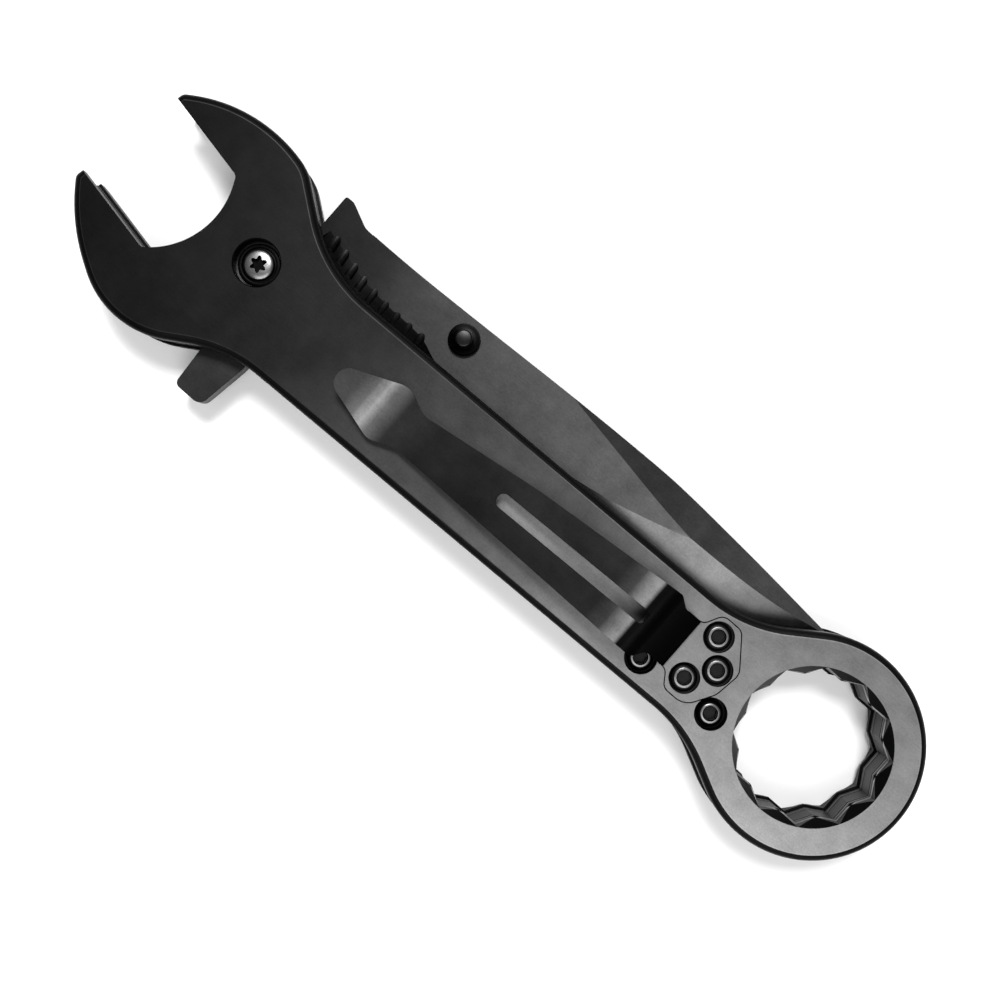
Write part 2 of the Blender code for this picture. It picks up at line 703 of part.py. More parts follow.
def clip_foot():
    foot = clip_piece("clip_foot", CLIP_HINGE_X + GAP / 2, PIVOT_TO_RING)
    for i, (x, y) in enumerate(CLIP_SCREWS, 1):
        well = (TOP - CLIP_WELL_DEPTH, TOP + mm(8))
        hole = (TOP - mm(3), TOP + mm(8))
        cut(foot, round_cutter(f"clip_well_{i}", x, y, SCREW_WELL, *well), solver="MANIFOLD")
        bore = round_cutter(f"clip_hole_{i}", x, y, SCREW_HOLE, *hole, 16)
        cut(foot, bore, solver="MANIFOLD")
    return adopt(foot, CLIP_STEEL)


def clip_arm():
    arm = clip_piece("clip_arm", CLIP_NOSE_X - mm(5), CLIP_HINGE_X - GAP / 2)
    slot_left = CLIP_NOSE_X + mm(30.5)
    slot_right = CLIP_BEND_X - mm(0.7)
    slot = rounded([
        (slot_left, mm(-3.9), mm(1.1)),
        (slot_right, mm(-3.15), mm(0.6)),
        (slot_right, mm(-0.85), mm(0.6)),
        (slot_left, mm(-1.6), mm(1.1)),
    ])
    cut(arm, outline_cutter("clip_slot", slot, TOP - mm(4), TOP + mm(12)))
    return arm


# ---------------------------------------------------------------- the blade
def smooth_height(points, x):
    """Height at x of a smooth line through (x, y) points."""
    last = len(points) - 1
    x = min(max(x, points[0][0]), points[-1][0])
    k = 0
    while k < last - 1 and x > points[k + 1][0]:
        k += 1
    slopes = []
    for i in (k, k + 1):
        before = points[max(i - 1, 0)]
        after = points[min(i + 1, last)]
        slopes.append((after[1] - before[1]) / (after[0] - before[0]))
    width = points[k + 1][0] - points[k][0]
    t = (x - points[k][0]) / width
    ease = t * t * (3 - 2 * t)
    start = t * (1 - t) ** 2 * width * slopes[0]
    finish = -t * t * (1 - t) * width * slopes[1]
    return points[k][1] * (1 - ease) + points[k + 1][1] * ease + start + finish


def blade_lines():
    """Spine, swedge line, grind line, the ridge where those two meet, and edge."""
    tip = TIP_X
    ridge = [
        (tip - mm(25.9), mm(12.0)), (tip - mm(17.7), mm(12.25)), (tip - mm(12.5), mm(12.6)),
        (tip - mm(7.5), mm(13.2)), (tip, TIP_Y),
    ]
    spine = [
        (mm(7.0), SPINE_AT_TAB), (mm(20.0), SPINE_AT_TAB + mm(0.15)),
        (tip - mm(36.5), BLADE_WIDEST), (tip - mm(18.7), BLADE_WIDEST - mm(0.8)),
        (tip, TIP_Y + mm(0.25)),
    ]
    swedge_start = tip - mm(53.5)
    swedge = [
        (swedge_start, smooth_height(spine, swedge_start) - mm(0.15)),
        (tip - mm(43.3), mm(14.7)), (tip - mm(33.1), mm(12.96)), ridge[0],
    ]
    grind = [
        (mm(9.0), mm(8.6)), (mm(25.5), mm(8.5)), (mm(31.0), mm(6.4)), (tip - mm(53.5), mm(6.3)),
        (tip - mm(45.4), mm(7.2)), (tip - mm(38.2), mm(8.5)), (tip - mm(33.1), mm(9.8)),
        (tip - mm(27.9), mm(11.3)), ridge[0],
    ]
    edge = [
        (mm(9.0), mm(5.3)), (mm(28.0), mm(4.9)), (mm(40.0), mm(3.6)), (tip - mm(43.5), mm(1.3)),
        (tip - mm(31.5), mm(0.9)), (tip - mm(21.5), mm(2.1)), (tip - mm(11.5), mm(6.0)),
        (tip - mm(4.5), mm(10.9)), (tip, TIP_Y - mm(0.15)),
    ]
    return spine, swedge, grind, ridge, edge


def blade_section(x):
    """One cross-section of the blade as (y, half thickness) points from spine to edge."""
    spine, swedge, grind, ridge, edge = blade_lines()
    half = BLADE / 2 - GROUND_STEP
    into_swedge = min(max((x - swedge[0][0]) / (TIP_X - swedge[0][0]), 0), 1)
    into_ridge = min(max((x - ridge[0][0]) / (TIP_X - ridge[0][0]), 0), 1)
    ridge_half = half - (half - mm(0.25)) * into_ridge ** 1.6
    spine_half = half - (half - mm(0.20)) * min(into_swedge * 2.2, 1) ** 0.8
    top = smooth_height(spine, x)
    bottom = smooth_height(edge, x)
    line = smooth_height(grind, x)
    shoulder = smooth_height(swedge, x)
    if x < swedge[0][0]:
        shoulder = top - mm(0.15)
        spine_half = half
    if x > ridge[0][0]:
        line = smooth_height(ridge, x)
        shoulder = line
    hollow = (line + bottom) / 2
    hollow_half = EDGE_HALF + (ridge_half - EDGE_HALF) * 0.42
    return [(top, min(spine_half, ridge_half)), (shoulder, ridge_half), (line, ridge_half),
            (hollow, hollow_half), (bottom, EDGE_HALF)]


def blade_loft():
    """The ground part of the blade, lofted through its cross-sections."""
    start = mm(9.6)
    spots = [start + (TIP_X - start) * i / 30 for i in range(31)]
    spots += [TIP_X - mm(25.9), TIP_X - mm(53.5)]
    shape = bmesh.new()
    rings = []
    for x in sorted(spots):
        section = blade_section(x)
        loop = [(y, half) for y, half in section] + [(y, -half) for y, half in section[::-1]]
        rings.append([shape.verts.new((x, y, z)) for y, z in loop])
    count = len(rings[0])
    for near, far in zip(rings, rings[1:]):
        for i in range(count):
            j = (i + 1) % count
            shape.faces.new((near[i], near[j], far[j], far[i]))
    shape.faces.new(rings[0][::-1])
    shape.faces.new(rings[-1])
    bmesh.ops.remove_doubles(shape, verts=shape.verts, dist=1e-5)
    bmesh.ops.recalc_face_normals(shape, faces=shape.faces)
    bmesh.ops.triangulate(shape, faces=shape.faces)
    mesh = bpy.data.meshes.new("blade_ground_part")
    shape.to_mesh(mesh)
    shape.free()
    obj = bpy.data.objects.new("blade_ground_part", mesh)
    CUTTERS.objects.link(obj)
    obj.location.z = (BLADE_LOW + BLADE_HIGH) / 2
    return hide_cutter(obj)


def tang_outline():
    """Tang, guard tab and flipper: the flat part of the blade round its pivot."""
    tongue_end = mm(11.5)
    flipper_front = STOP_PIN_X + STOP_PIN + GAP
    return rounded([
        (mm(6.6), mm(5.4), mm(0.4)),
        (tongue_end, mm(5.6), 0),
        (tongue_end, SPINE_AT_TAB - mm(0.12), 0),
        (mm(8.0), SPINE_AT_TAB + mm(0.01), mm(3.0)),
        (TAB_FRONT + mm(1.5), TAB_TOP, mm(0.6)),
        (TAB_FRONT, TAB_TOP, mm(0.4)),
        (TAB_FRONT, mm(7.8), mm(0.5)),
        (mm(0.0), mm(8.0), 0),
        (mm(0.0), mm(-8.0), 0),
        (flipper_front, mm(-8.0), 0),
        (flipper_front, mm(-15.0), mm(8.0)),
        (mm(1.5), -FLIPPER_REACH, mm(1.0)),
        (FLIPPER_BACK, -FLIPPER_REACH, mm(1.6)),
        (mm(8.2), mm(-13.0), mm(6.0)),
        (mm(6.2), mm(-5.6), mm(2.0)),
        (mm(6.0), mm(0.0), 0),
    ])


def blade(joint):
    piece = outline_solid("blade", tang_outline(), BLADE_LOW, BLADE_HIGH)
    disc = round_cutter("tang_disc", 0, 0, TANG, BLADE_LOW, BLADE_HIGH, 48)
    cut(piece, disc, "UNION", careful=True)
    cut(piece, blade_loft(), "UNION", careful=True)
    low = BLADE_LOW - mm(2)
    high = BLADE_HIGH + mm(2)
    cut(piece, round_cutter("blade_pivot_bore", 0, 0, BARREL + GAP, low, high, 32))
    pocket = WASHER + GAP
    cut(piece, round_cutter("clip_side_pocket", 0, 0, pocket, BLADE_HIGH - WASHER_POCKET, high, 32))
    cut(piece, round_cutter("rear_side_pocket", 0, 0, pocket, low, BLADE_LOW + WASHER_POCKET, 32))
    cut(piece, round_cutter("stud_bore", STUD_X, STUD_Y, STUD_PIN + GAP, low, high, 16))
    return adopt(piece, BLADE_STEEL, joint)


def thumb_studs(joint):
    """A stud on each side of the blade, each with half of the pin through it."""
    middle = (BLADE_LOW + BLADE_HIGH) / 2
    foot = BLADE / 2 + GAP
    top = foot + STUD_HEIGHT
    clip_side = [
        (0, top), (STUD_CAP - mm(0.3), top), (STUD_CAP, top - mm(0.25)), (STUD_CAP, top - mm(0.9)),
        (STUD_CAP + mm(0.5), foot + mm(1.0)), (STUD_FLANGE, foot + mm(0.5)), (STUD_FLANGE, foot),
        (STUD_PIN, foot), (STUD_PIN, STUD_PIN_SETBACK), (0, STUD_PIN_SETBACK),
    ]
    rear_side = [(radius, -height) for radius, height in clip_side[::-1]]
    for name, profile in (("clip", clip_side), ("rear", rear_side)):
        raised = [(radius, middle + height) for radius, height in profile]
        stud = turned(f"thumb_stud_{name}_side", raised, STUD_X, STUD_Y, 24)
        adopt(stud, SCREW_STEEL, joint)


# ---------------------------------------------------------------- joints and assembly
def joint_empty(name, x, y, z):
    empty = bpy.data.objects.new(name, None)
    PARTS.objects.link(empty)
    empty.location = (x, y, z)
    empty.parent = ROOT
    return empty


def centre_on_footprint():
    """Move the assembly so that its origin is the middle of its footprint."""
    graph = bpy.context.evaluated_depsgraph_get()
    graph.update()
    corners = []
    for obj in PARTS.objects:
        if obj.type == "MESH":
            seen = obj.evaluated_get(graph)
            corners += [seen.matrix_world @ vertex.co for vertex in seen.data.vertices]
    low = [min(corner[axis] for corner in corners) for axis in range(3)]
    high = [max(corner[axis] for corner in corners) for axis in range(3)]
    ROOT.location = (-(low[0] + high[0]) / 2, -(low[1] + high[1]) / 2, -low[2])


def build():
    blade_joint = joint_empty("blade_pivot", 0, 0, (BLADE_LOW + BLADE_HIGH) / 2)
    bar_joint = joint_empty(
        "lock_bar_bend", LOCK_BAR_ROOT, 0, (CLIP_LINER_LOW + CLIP_LINER_HIGH) / 2
    )
    clip_joint = joint_empty("clip_bend", CLIP_HINGE_X, 0, TOP + CLIP_RISE)
    clip_side_plate()
    rear_plate()
    clip_side_liner()
    liner("rear_liner", REAR_LINER_LOW, REAR_LINER_HIGH)
    bar = outline_solid("lock_bar", rounded(lock_bar_corners()), CLIP_LINER_LOW, CLIP_LINER_HIGH)
    adopt(bar, LINER_STEEL, bar_joint)
    spacer()
    pivot_screw()
    pivot_barrel()
    washers()
    stop_pin()
    screws()
    clip_foot()
    adopt(clip_arm(), CLIP_STEEL, clip_joint)
    blade(blade_joint)
    thumb_studs(blade_joint)
    for obj in PARTS.objects:
        if obj.type == "MESH":
            shade(obj)
    centre_on_footprint()


build()
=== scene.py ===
import json
import math

import bpy
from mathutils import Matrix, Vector


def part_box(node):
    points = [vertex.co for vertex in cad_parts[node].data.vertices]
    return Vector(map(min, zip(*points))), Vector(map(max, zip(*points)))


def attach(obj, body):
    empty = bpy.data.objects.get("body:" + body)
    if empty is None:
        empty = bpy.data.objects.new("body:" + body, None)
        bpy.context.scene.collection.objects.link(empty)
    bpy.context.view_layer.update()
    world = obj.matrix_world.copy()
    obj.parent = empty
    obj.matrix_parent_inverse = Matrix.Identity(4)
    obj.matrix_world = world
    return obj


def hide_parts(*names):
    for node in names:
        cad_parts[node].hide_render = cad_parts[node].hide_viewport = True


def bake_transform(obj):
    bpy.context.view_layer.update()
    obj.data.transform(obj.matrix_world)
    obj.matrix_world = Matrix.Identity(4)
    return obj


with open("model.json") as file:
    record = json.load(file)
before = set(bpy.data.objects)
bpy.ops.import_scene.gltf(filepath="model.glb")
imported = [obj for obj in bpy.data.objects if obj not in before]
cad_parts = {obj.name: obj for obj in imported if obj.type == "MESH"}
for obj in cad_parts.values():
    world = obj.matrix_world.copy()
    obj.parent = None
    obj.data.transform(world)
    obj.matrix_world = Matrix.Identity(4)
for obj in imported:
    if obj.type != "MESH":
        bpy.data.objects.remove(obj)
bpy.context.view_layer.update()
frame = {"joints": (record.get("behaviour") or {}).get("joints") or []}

# ============================================================================ the wrench plates
# Two steel plates in the shape of a combination wrench, one on each side of the knife. Each is
# blanked, machined flat, rounded over along its outer edge, broached in the ring and blacked;
# the flats are then rubbed back to a satin finish, their tone painted light: darkest at the jaw.

MM = 0.001
PIVOT = next(Vector(joint["pos_m"]) for joint in frame["joints"] if joint["name"] == "blade_pivot")
RING_WALL = 5.3
BORE_CORNER = 21.0 / 2 / math.cos(math.radians(30))
RING_RADIUS = BORE_CORNER + RING_WALL
RING_X = (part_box("clip_side_plate")[1].x - PIVOT.x) / MM - RING_RADIUS
RING_NEAR = RING_X - RING_RADIUS
JAW_TILT = math.radians(11.8)
JAW_OFFSET = -3.5
JAW_HALF = 9.0
JAW_REACH = 27.4
JAW_THROAT = 13.3
LOWER_TIP = JAW_HALF + 1.4
ARC_ERROR = 0.006            # how far a chord may lie inside its arc, in millimetres
BODY_SCREWS = ((RING_NEAR - 11.2, -6.9), (RING_NEAR + 2.4, -6.4))
CLIP_SCREWS = ((RING_NEAR - 4.3, 3.2), (RING_NEAR - 1.1, -0.8), (RING_NEAR - 4.2, -4.9))
SCREW_WELL = 2.42
SCREW_HOLE = 1.5
PIVOT_WELL = 3.65
REAR_FACE, REAR_INSIDE = (level.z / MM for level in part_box("rear_plate"))
CLIP_INSIDE, TOP = (level.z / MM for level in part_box("clip_side_plate"))


def deselect():
    if bpy.context.mode != "OBJECT":
        bpy.ops.object.mode_set(mode="OBJECT")
    bpy.ops.object.select_all(action="DESELECT")


def pick(piece):
    deselect()
    piece.select_set(True)
    bpy.context.view_layer.objects.active = piece


def edit_all(piece, mode="FACE"):
    """Open a piece for editing with all of it selected."""
    pick(piece)
    bpy.ops.object.mode_set(mode="EDIT")
    bpy.ops.mesh.select_mode(type=mode)
    bpy.ops.mesh.select_all(action="SELECT")


def in_place(point):
    """A point in millimetres from the blade's pivot, with its height, in the knife's own frame."""
    x, y, z = point
    return (PIVOT.x + x * MM, PIVOT.y + y * MM, z * MM)


def corner_arc(before, corner, after, radius):
    """Points of the arc that rounds one corner of an outline."""
    to_before = (before - corner).normalized()
    to_after = (after - corner).normalized()
    turn = math.pi - to_before.angle(to_after)
    if radius <= 0 or turn < 1e-4:
        return [corner]
    first = corner + to_before * radius * math.tan(turn / 2)
    last = corner + to_after * radius * math.tan(turn / 2)
    centre = corner + (to_before + to_after).normalized() * (radius / math.cos(turn / 2))
    count = max(2, math.ceil(turn / (2 * math.acos(1 - min(ARC_ERROR / radius, 0.5)))))
    start = first - centre
    end = last - centre
    side = 1 if start.x * end.y - start.y * end.x > 0 else -1
    points = []
    for i in range(count + 1):
        angle = side * turn * i / count
        points.append(centre + Vector((
            start.x * math.cos(angle) - start.y * math.sin(angle),
            start.x * math.sin(angle) + start.y * math.cos(angle),
        )))
    return points


def rounded(corners, closed=True):
    """Outline through (x, y, radius) corners, in millimetres from the pivot."""
    places = [Vector((x, y)) for x, y, radius in corners]
    count = len(corners)
    points = []
    for i, corner in enumerate(corners):
        if not closed and i in (0, count - 1):
            points.append(places[i])
            continue
        points += corner_arc(places[i - 1], places[i], places[(i + 1) % count], corner[2])
    return points


def inwards(corners, distance):
    """The same corners moved in from an outline that runs anticlockwise."""
    count = len(corners)
    moved = []
    for i, (x, y, radius) in enumerate(corners):
        here = Vector((x, y))
        ahead = (Vector(corners[(i + 1) % count][:2]) - here).normalized()
        behind = (here - Vector(corners[i - 1][:2])).normalized()
        left = Vector((-ahead.y - behind.y, ahead.x + behind.x)).normalized()
        place = here + left * (distance / math.cos(ahead.angle(behind) / 2))
        outward = behind.x * ahead.y - behind.y * ahead.x > 0
        bend = radius - distance if outward else radius + distance
        moved.append((place.x, place.y, max(bend, 0) if radius > 0 else 0))
    return moved


def drawn_up(name, outline, base, height, rim=()):
    """An outline drawn up or down from a level, its far edge worked in by (inwards, onwards) steps."""
    if height < 0:
        outline = outline[::-1]
    deselect()
    bpy.ops.mesh.primitive_circle_add(vertices=len(outline), radius=MM, fill_type="NGON")
    piece = bpy.context.object
    piece.name = name
    piece.data.name = name
    for vertex, place in zip(piece.data.vertices, outline):
        vertex.co = in_place((place[0], place[1], base))
    edit_all(piece)
    bpy.ops.mesh.extrude_region_move(TRANSFORM_OT_translate={"value": (0, 0, height * MM)})
    for inward, onward in rim:
        bpy.ops.mesh.inset(thickness=inward * MM, depth=onward * MM)
    bpy.ops.mesh.select_all(action="SELECT")
    bpy.ops.mesh.normals_make_consistent(inside=False)
    bpy.ops.object.mode_set(mode="OBJECT")
    return piece


def turned(name, profile, x, y, steps=64):
    """A turned piece: (radius, height) points from the axis out and back, spun about the vertical."""
    mesh = bpy.data.meshes.new(name)
    mesh.from_pydata(
        [in_place((x + radius, y, height)) for radius, height in profile],
        [(i, i + 1) for i in range(len(profile) - 1)], []
    )
    piece = bpy.data.objects.new(name, mesh)
    bpy.context.scene.collection.objects.link(piece)
    edit_all(piece, "VERT")
    bpy.ops.mesh.spin(
        steps=steps, angle=2 * math.pi, center=in_place((x, y, 0)), axis=(0, 0, 1), dupli=False
    )
    bpy.ops.mesh.select_all(action="SELECT")
    bpy.ops.mesh.remove_doubles(threshold=1e-7)
    bpy.ops.mesh.dissolve_degenerate(threshold=1e-8)
    bpy.ops.mesh.select_all(action="SELECT")
    bpy.ops.mesh.normals_make_consistent(inside=False)
    bpy.ops.object.mode_set(mode="OBJECT")
    return piece


def shape_with(piece, tool, operation="DIFFERENCE"):
    """Cut a piece with a tool, join them, or keep what lies in both; the tool is used up."""
    change = piece.modifiers.new("shape", "BOOLEAN")
    change.operation = operation
    change.solver = "EXACT"
    change.object = tool
    pick(piece)
    bpy.ops.object.modifier_apply(modifier=change.name)
    bpy.data.objects.remove(tool)


def smooth_over(piece, angle=32):
    """Round stretches shaded smooth, flats kept flat."""
    pick(piece)
    bpy.ops.object.shade_smooth_by_angle(angle=math.radians(angle))
    weigh = piece.modifiers.new("flats", "WEIGHTED_NORMAL")
    weigh.keep_sharp = True
    weigh.weight = 80
    bpy.ops.object.modifier_apply(modifier=weigh.name)


def from_jaw(along, across, radius=0):
    """A corner given along and across the tilted jaw."""
    side = across + JAW_OFFSET
    x = -along * math.cos(JAW_TILT) + side * math.sin(JAW_TILT)
    y = along * math.sin(JAW_TILT) + side * math.cos(JAW_TILT)
    return (x, y, radius)


def ring_corners(low_neck, high_neck):
    """Four corners whose arcs run round the ring between the two lines that touch it."""
    touches = []
    for (x, y, radius), sign in ((low_neck, 1), (high_neck, -1)):
        away = Vector((x - RING_X, y))
        touches.append(math.atan2(away.y, away.x) + sign * math.acos(RING_RADIUS / away.length))
    start, end = touches
    end += 2 * math.pi if end < start else 0
    half = (end - start) / 8
    reach = RING_RADIUS / math.cos(half)
    bearings = [start + half * (2 * i + 1) for i in range(4)]
    return [(RING_X + reach * math.cos(b), reach * math.sin(b), RING_RADIUS) for b in bearings]


def wrench_corners():
    low_neck = (RING_NEAR + 0.72, -11.11, 22.6)
    high_neck = (RING_NEAR - 2.48, 7.49, 22.0)
    return [
        (5.0, -12.95, 22.0),
        low_neck,
        *ring_corners(low_neck, high_neck),
        high_neck,
        (8.9, 6.17, 22.6),
        from_jaw(6.69, JAW_HALF + 9.20, 8.0),
        from_jaw(19.24, JAW_HALF + 9.46, 24.5),
        from_jaw(JAW_REACH, JAW_HALF + 1.1, 1.2),
        from_jaw(JAW_REACH, -LOWER_TIP, 1.2),
        from_jaw(JAW_REACH - 5.2, -JAW_HALF - 6.34, 30.0),
        from_jaw(6.03, -JAW_HALF - 12.15, 15.1),
    ]


def jaw_outline(wider=0.0):
    half = JAW_HALF + wider
    return rounded([
        from_jaw(JAW_REACH + 15, -half),
        from_jaw(JAW_REACH + 15, half),
        from_jaw(12.4 - wider, half, 1.0),
        from_jaw(5.7 - wider, 0, JAW_THROAT + wider),
        from_jaw(12.4 - wider, -half, 1.0),
    ])


def bore_outline(wider=0.0):
    """Twelve points: two hexagons turned thirty degrees apart, their tips just rounded."""
    outer = BORE_CORNER + wider
    inner = outer * math.cos(math.radians(30)) / math.cos(math.radians(15))
    corners = []
    for i in range(24):
        angle = math.radians(15 * i)
        radius = inner if i % 2 else outer
        bend = 0.25 if i % 2 else 0.12
        corners.append((RING_X + radius * math.cos(angle), radius * math.sin(angle), bend))
    return rounded(corners)


RIM = (
    (0.06, 0.16), (0.13, 0.19), (0.18, 0.17), (0.24, 0.13), (0.26, 0.09), (0.14, 0.04), (0.14, 0.02),
)                            # the rounded-over edge; its last step is rubbed bright and carries a painted highlight
RIM_HEIGHT = sum(onward for inward, onward in RIM)
BREAK = 0.14                 # broken edge round the jaw and the wells
LEDGE = 0.22                 # how far the bore steps out above the place where the broach stopped
LEDGE_DEPTH = 1.75
LEAD_IN = 0.2                # how far the bore's lead-in reaches past its corners at the face
LEAD_SLOPE = 0.7


def wrench_plate(name, inside, face):
    """One plate: the inner side first, then everything that is machined from the outer face."""
    sense = 1 if face > inside else -1
    depth = abs(face - inside)
    blank = rounded(wrench_corners())
    plate = drawn_up(name, blank, inside, sense * (depth - RIM_HEIGHT), RIM)
    beyond = (inside - sense, sense * (depth + 2))
    shape_with(plate, drawn_up("mouth", jaw_outline(), *beyond))
    shape_with(plate, drawn_up("broach", bore_outline(), *beyond))
    ledge_level = face - sense * LEDGE_DEPTH
    shape_with(plate, drawn_up("relief", bore_outline(LEDGE), ledge_level, sense * 3))
    cone = [(0, face + sense), (BORE_CORNER + LEAD_IN + LEAD_SLOPE, face + sense),
            (BORE_CORNER + LEAD_IN - 2 * LEAD_SLOPE, face - sense * 2.0), (0, face - sense * 2.0)]
    shape_with(plate, turned("lead_in", cone, RING_X, 0, 144))
    well = [(0, face + sense), (PIVOT_WELL + BREAK + 1, face + sense), (PIVOT_WELL, face - sense * BREAK),
            (PIVOT_WELL, inside - sense), (0, inside - sense)]
    shape_with(plate, turned("pivot_well", well, 0, 0, 72))
    return plate


def clip_foot_corners():
    """Plan of the clip's foot: a hull round its three screws, with a neck towards the arm."""
    near = RING_NEAR
    return [
        (near - 10.2, -5.6, 0), (near - 7.2, -5.6, 1.5), (near - 5.6, -8.0, 1.5), (near - 1.6, -8.0, 3.0),
        (near + 1.05, -3.6, 2.2), (near + 1.7, 0.9, 2.0), (near - 2.3, 6.1, 1.5), (near - 5.8, 6.1, 1.6),
        (near - 7.4, 3.05, 1.5), (near - 10.2, 3.05, 0),
    ]


clip_plate = wrench_plate("clip_side_plate_satin", CLIP_INSIDE, TOP)
WELL_DEPTH = 1.7
for x, y in BODY_SCREWS:
    well = [
        (0, TOP + 1), (SCREW_WELL + BREAK + 1, TOP + 1), (SCREW_WELL, TOP - BREAK),
        (SCREW_WELL, TOP - WELL_DEPTH), (SCREW_HOLE, TOP - WELL_DEPTH), (SCREW_HOLE, CLIP_INSIDE - 1),
        (0, CLIP_INSIDE - 1),
    ]
    shape_with(clip_plate, turned("well", well, x, y, 56))
CLIP_SHEET = 1.3
RECESS_GAP = 0.17            # room round the clip's foot in its recess
recess = rounded(inwards(clip_foot_corners(), -RECESS_GAP))
shape_with(clip_plate, drawn_up("recess", recess, TOP - CLIP_SHEET - RECESS_GAP, 3))
for x, y in CLIP_SCREWS:
    hole = [(0, TOP), (SCREW_HOLE, TOP), (SCREW_HOLE, CLIP_INSIDE - 1), (0, CLIP_INSIDE - 1)]
    shape_with(clip_plate, turned("hole", hole, x, y, 40))
CLIP_BEND = RING_NEAR - 14.4
STRIP_DEPTH = 0.03           # a strip of the plate under the clip's slot, cut a hair deep and painted brighter: painted light
strip = rounded([
    (CLIP_BEND - 32.0, -5.0, 1.0), (CLIP_BEND - 0.5, -4.5, 1.0), (CLIP_BEND - 0.5, 0.4, 1.0),
    (CLIP_BEND - 32.0, -0.6, 1.0),
])
shape_with(clip_plate, drawn_up("strip_under_slot", strip, TOP - STRIP_DEPTH, 3))
rear_plate = wrench_plate("rear_plate_satin", REAR_INSIDE, REAR_FACE)

# ---- its finishes


def new_group(name, inputs, outputs):
    group = bpy.data.node_groups.new(name, "ShaderNodeTree")
    for label, default in inputs:
        socket = group.interface.new_socket(label, in_out="INPUT", socket_type="NodeSocketFloat")
        socket.default_value = default
    for label in outputs:
        group.interface.new_socket(label, in_out="OUTPUT", socket_type="NodeSocketFloat")
    return group


def math_node(tree, operation, first, second):
    node = tree.nodes.new("ShaderNodeMath")
    node.operation = operation
    for socket, value in zip(node.inputs, (first, second)):
        if isinstance(value, (int, float)):
            socket.default_value = value
        else:
            tree.links.new(value, socket)
    return node.outputs[0]


def noise_node(tree, place, scale, detail, rough=0.5):
    node = tree.nodes.new("ShaderNodeTexNoise")
    node.inputs["Scale"].default_value = scale
    node.inputs["Detail"].default_value = detail
    node.inputs["Roughness"].default_value = rough
    tree.links.new(place, node.inputs["Vector"])
    return node.outputs["Fac"]


def stretched(tree, place, scale):
    node = tree.nodes.new("ShaderNodeMapping")
    node.inputs["Scale"].default_value = scale
    tree.links.new(place, node.inputs["Vector"])
    return node.outputs["Vector"]


def swing(tree, noise, amount):
    """A noise made to swing about nought by an amount."""
    return math_node(tree, "MULTIPLY", math_node(tree, "SUBTRACT", noise, 0.5), amount)


# one rub for every steel: a fine grain, lines left by the belt, and two sizes of stain
satin = new_group("satin_rub", [("Tone", 0.2), ("Gloss", 0.4)], ["Tone", "Roughness", "Height"])
given = satin.nodes.new("NodeGroupInput")
result = satin.nodes.new("NodeGroupOutput")
where = satin.nodes.new("ShaderNodeTexCoord").outputs["Object"]
fine = noise_node(satin, stretched(satin, where, (2600, 4200, 4200)), 1.0, 3, 0.6)
lay = noise_node(satin, stretched(satin, where, (220, 2600, 2600)), 1.0, 4, 0.65)
cloud = noise_node(satin, where, 95, 4, 0.55)
stain = noise_node(satin, where, 340, 5, 0.6)
drift = swing(satin, cloud, 0.5)
change = math_node(satin, "ADD", math_node(satin, "ADD", swing(satin, fine, 0.6), drift),
                   math_node(satin, "ADD", swing(satin, stain, 0.6), 1.0))
change = math_node(satin, "ADD", change, swing(satin, lay, 0.25))
tone = math_node(satin, "MULTIPLY", given.outputs["Tone"], change)
gloss = math_node(satin, "ADD", given.outputs["Gloss"], math_node(satin, "MULTIPLY", drift, 0.35))
relief = math_node(satin, "ADD", fine, math_node(satin, "MULTIPLY", lay, 0.8))
satin.links.new(tone, result.inputs["Tone"])
satin.links.new(gloss, result.inputs["Roughness"])
satin.links.new(relief, result.inputs["Height"])


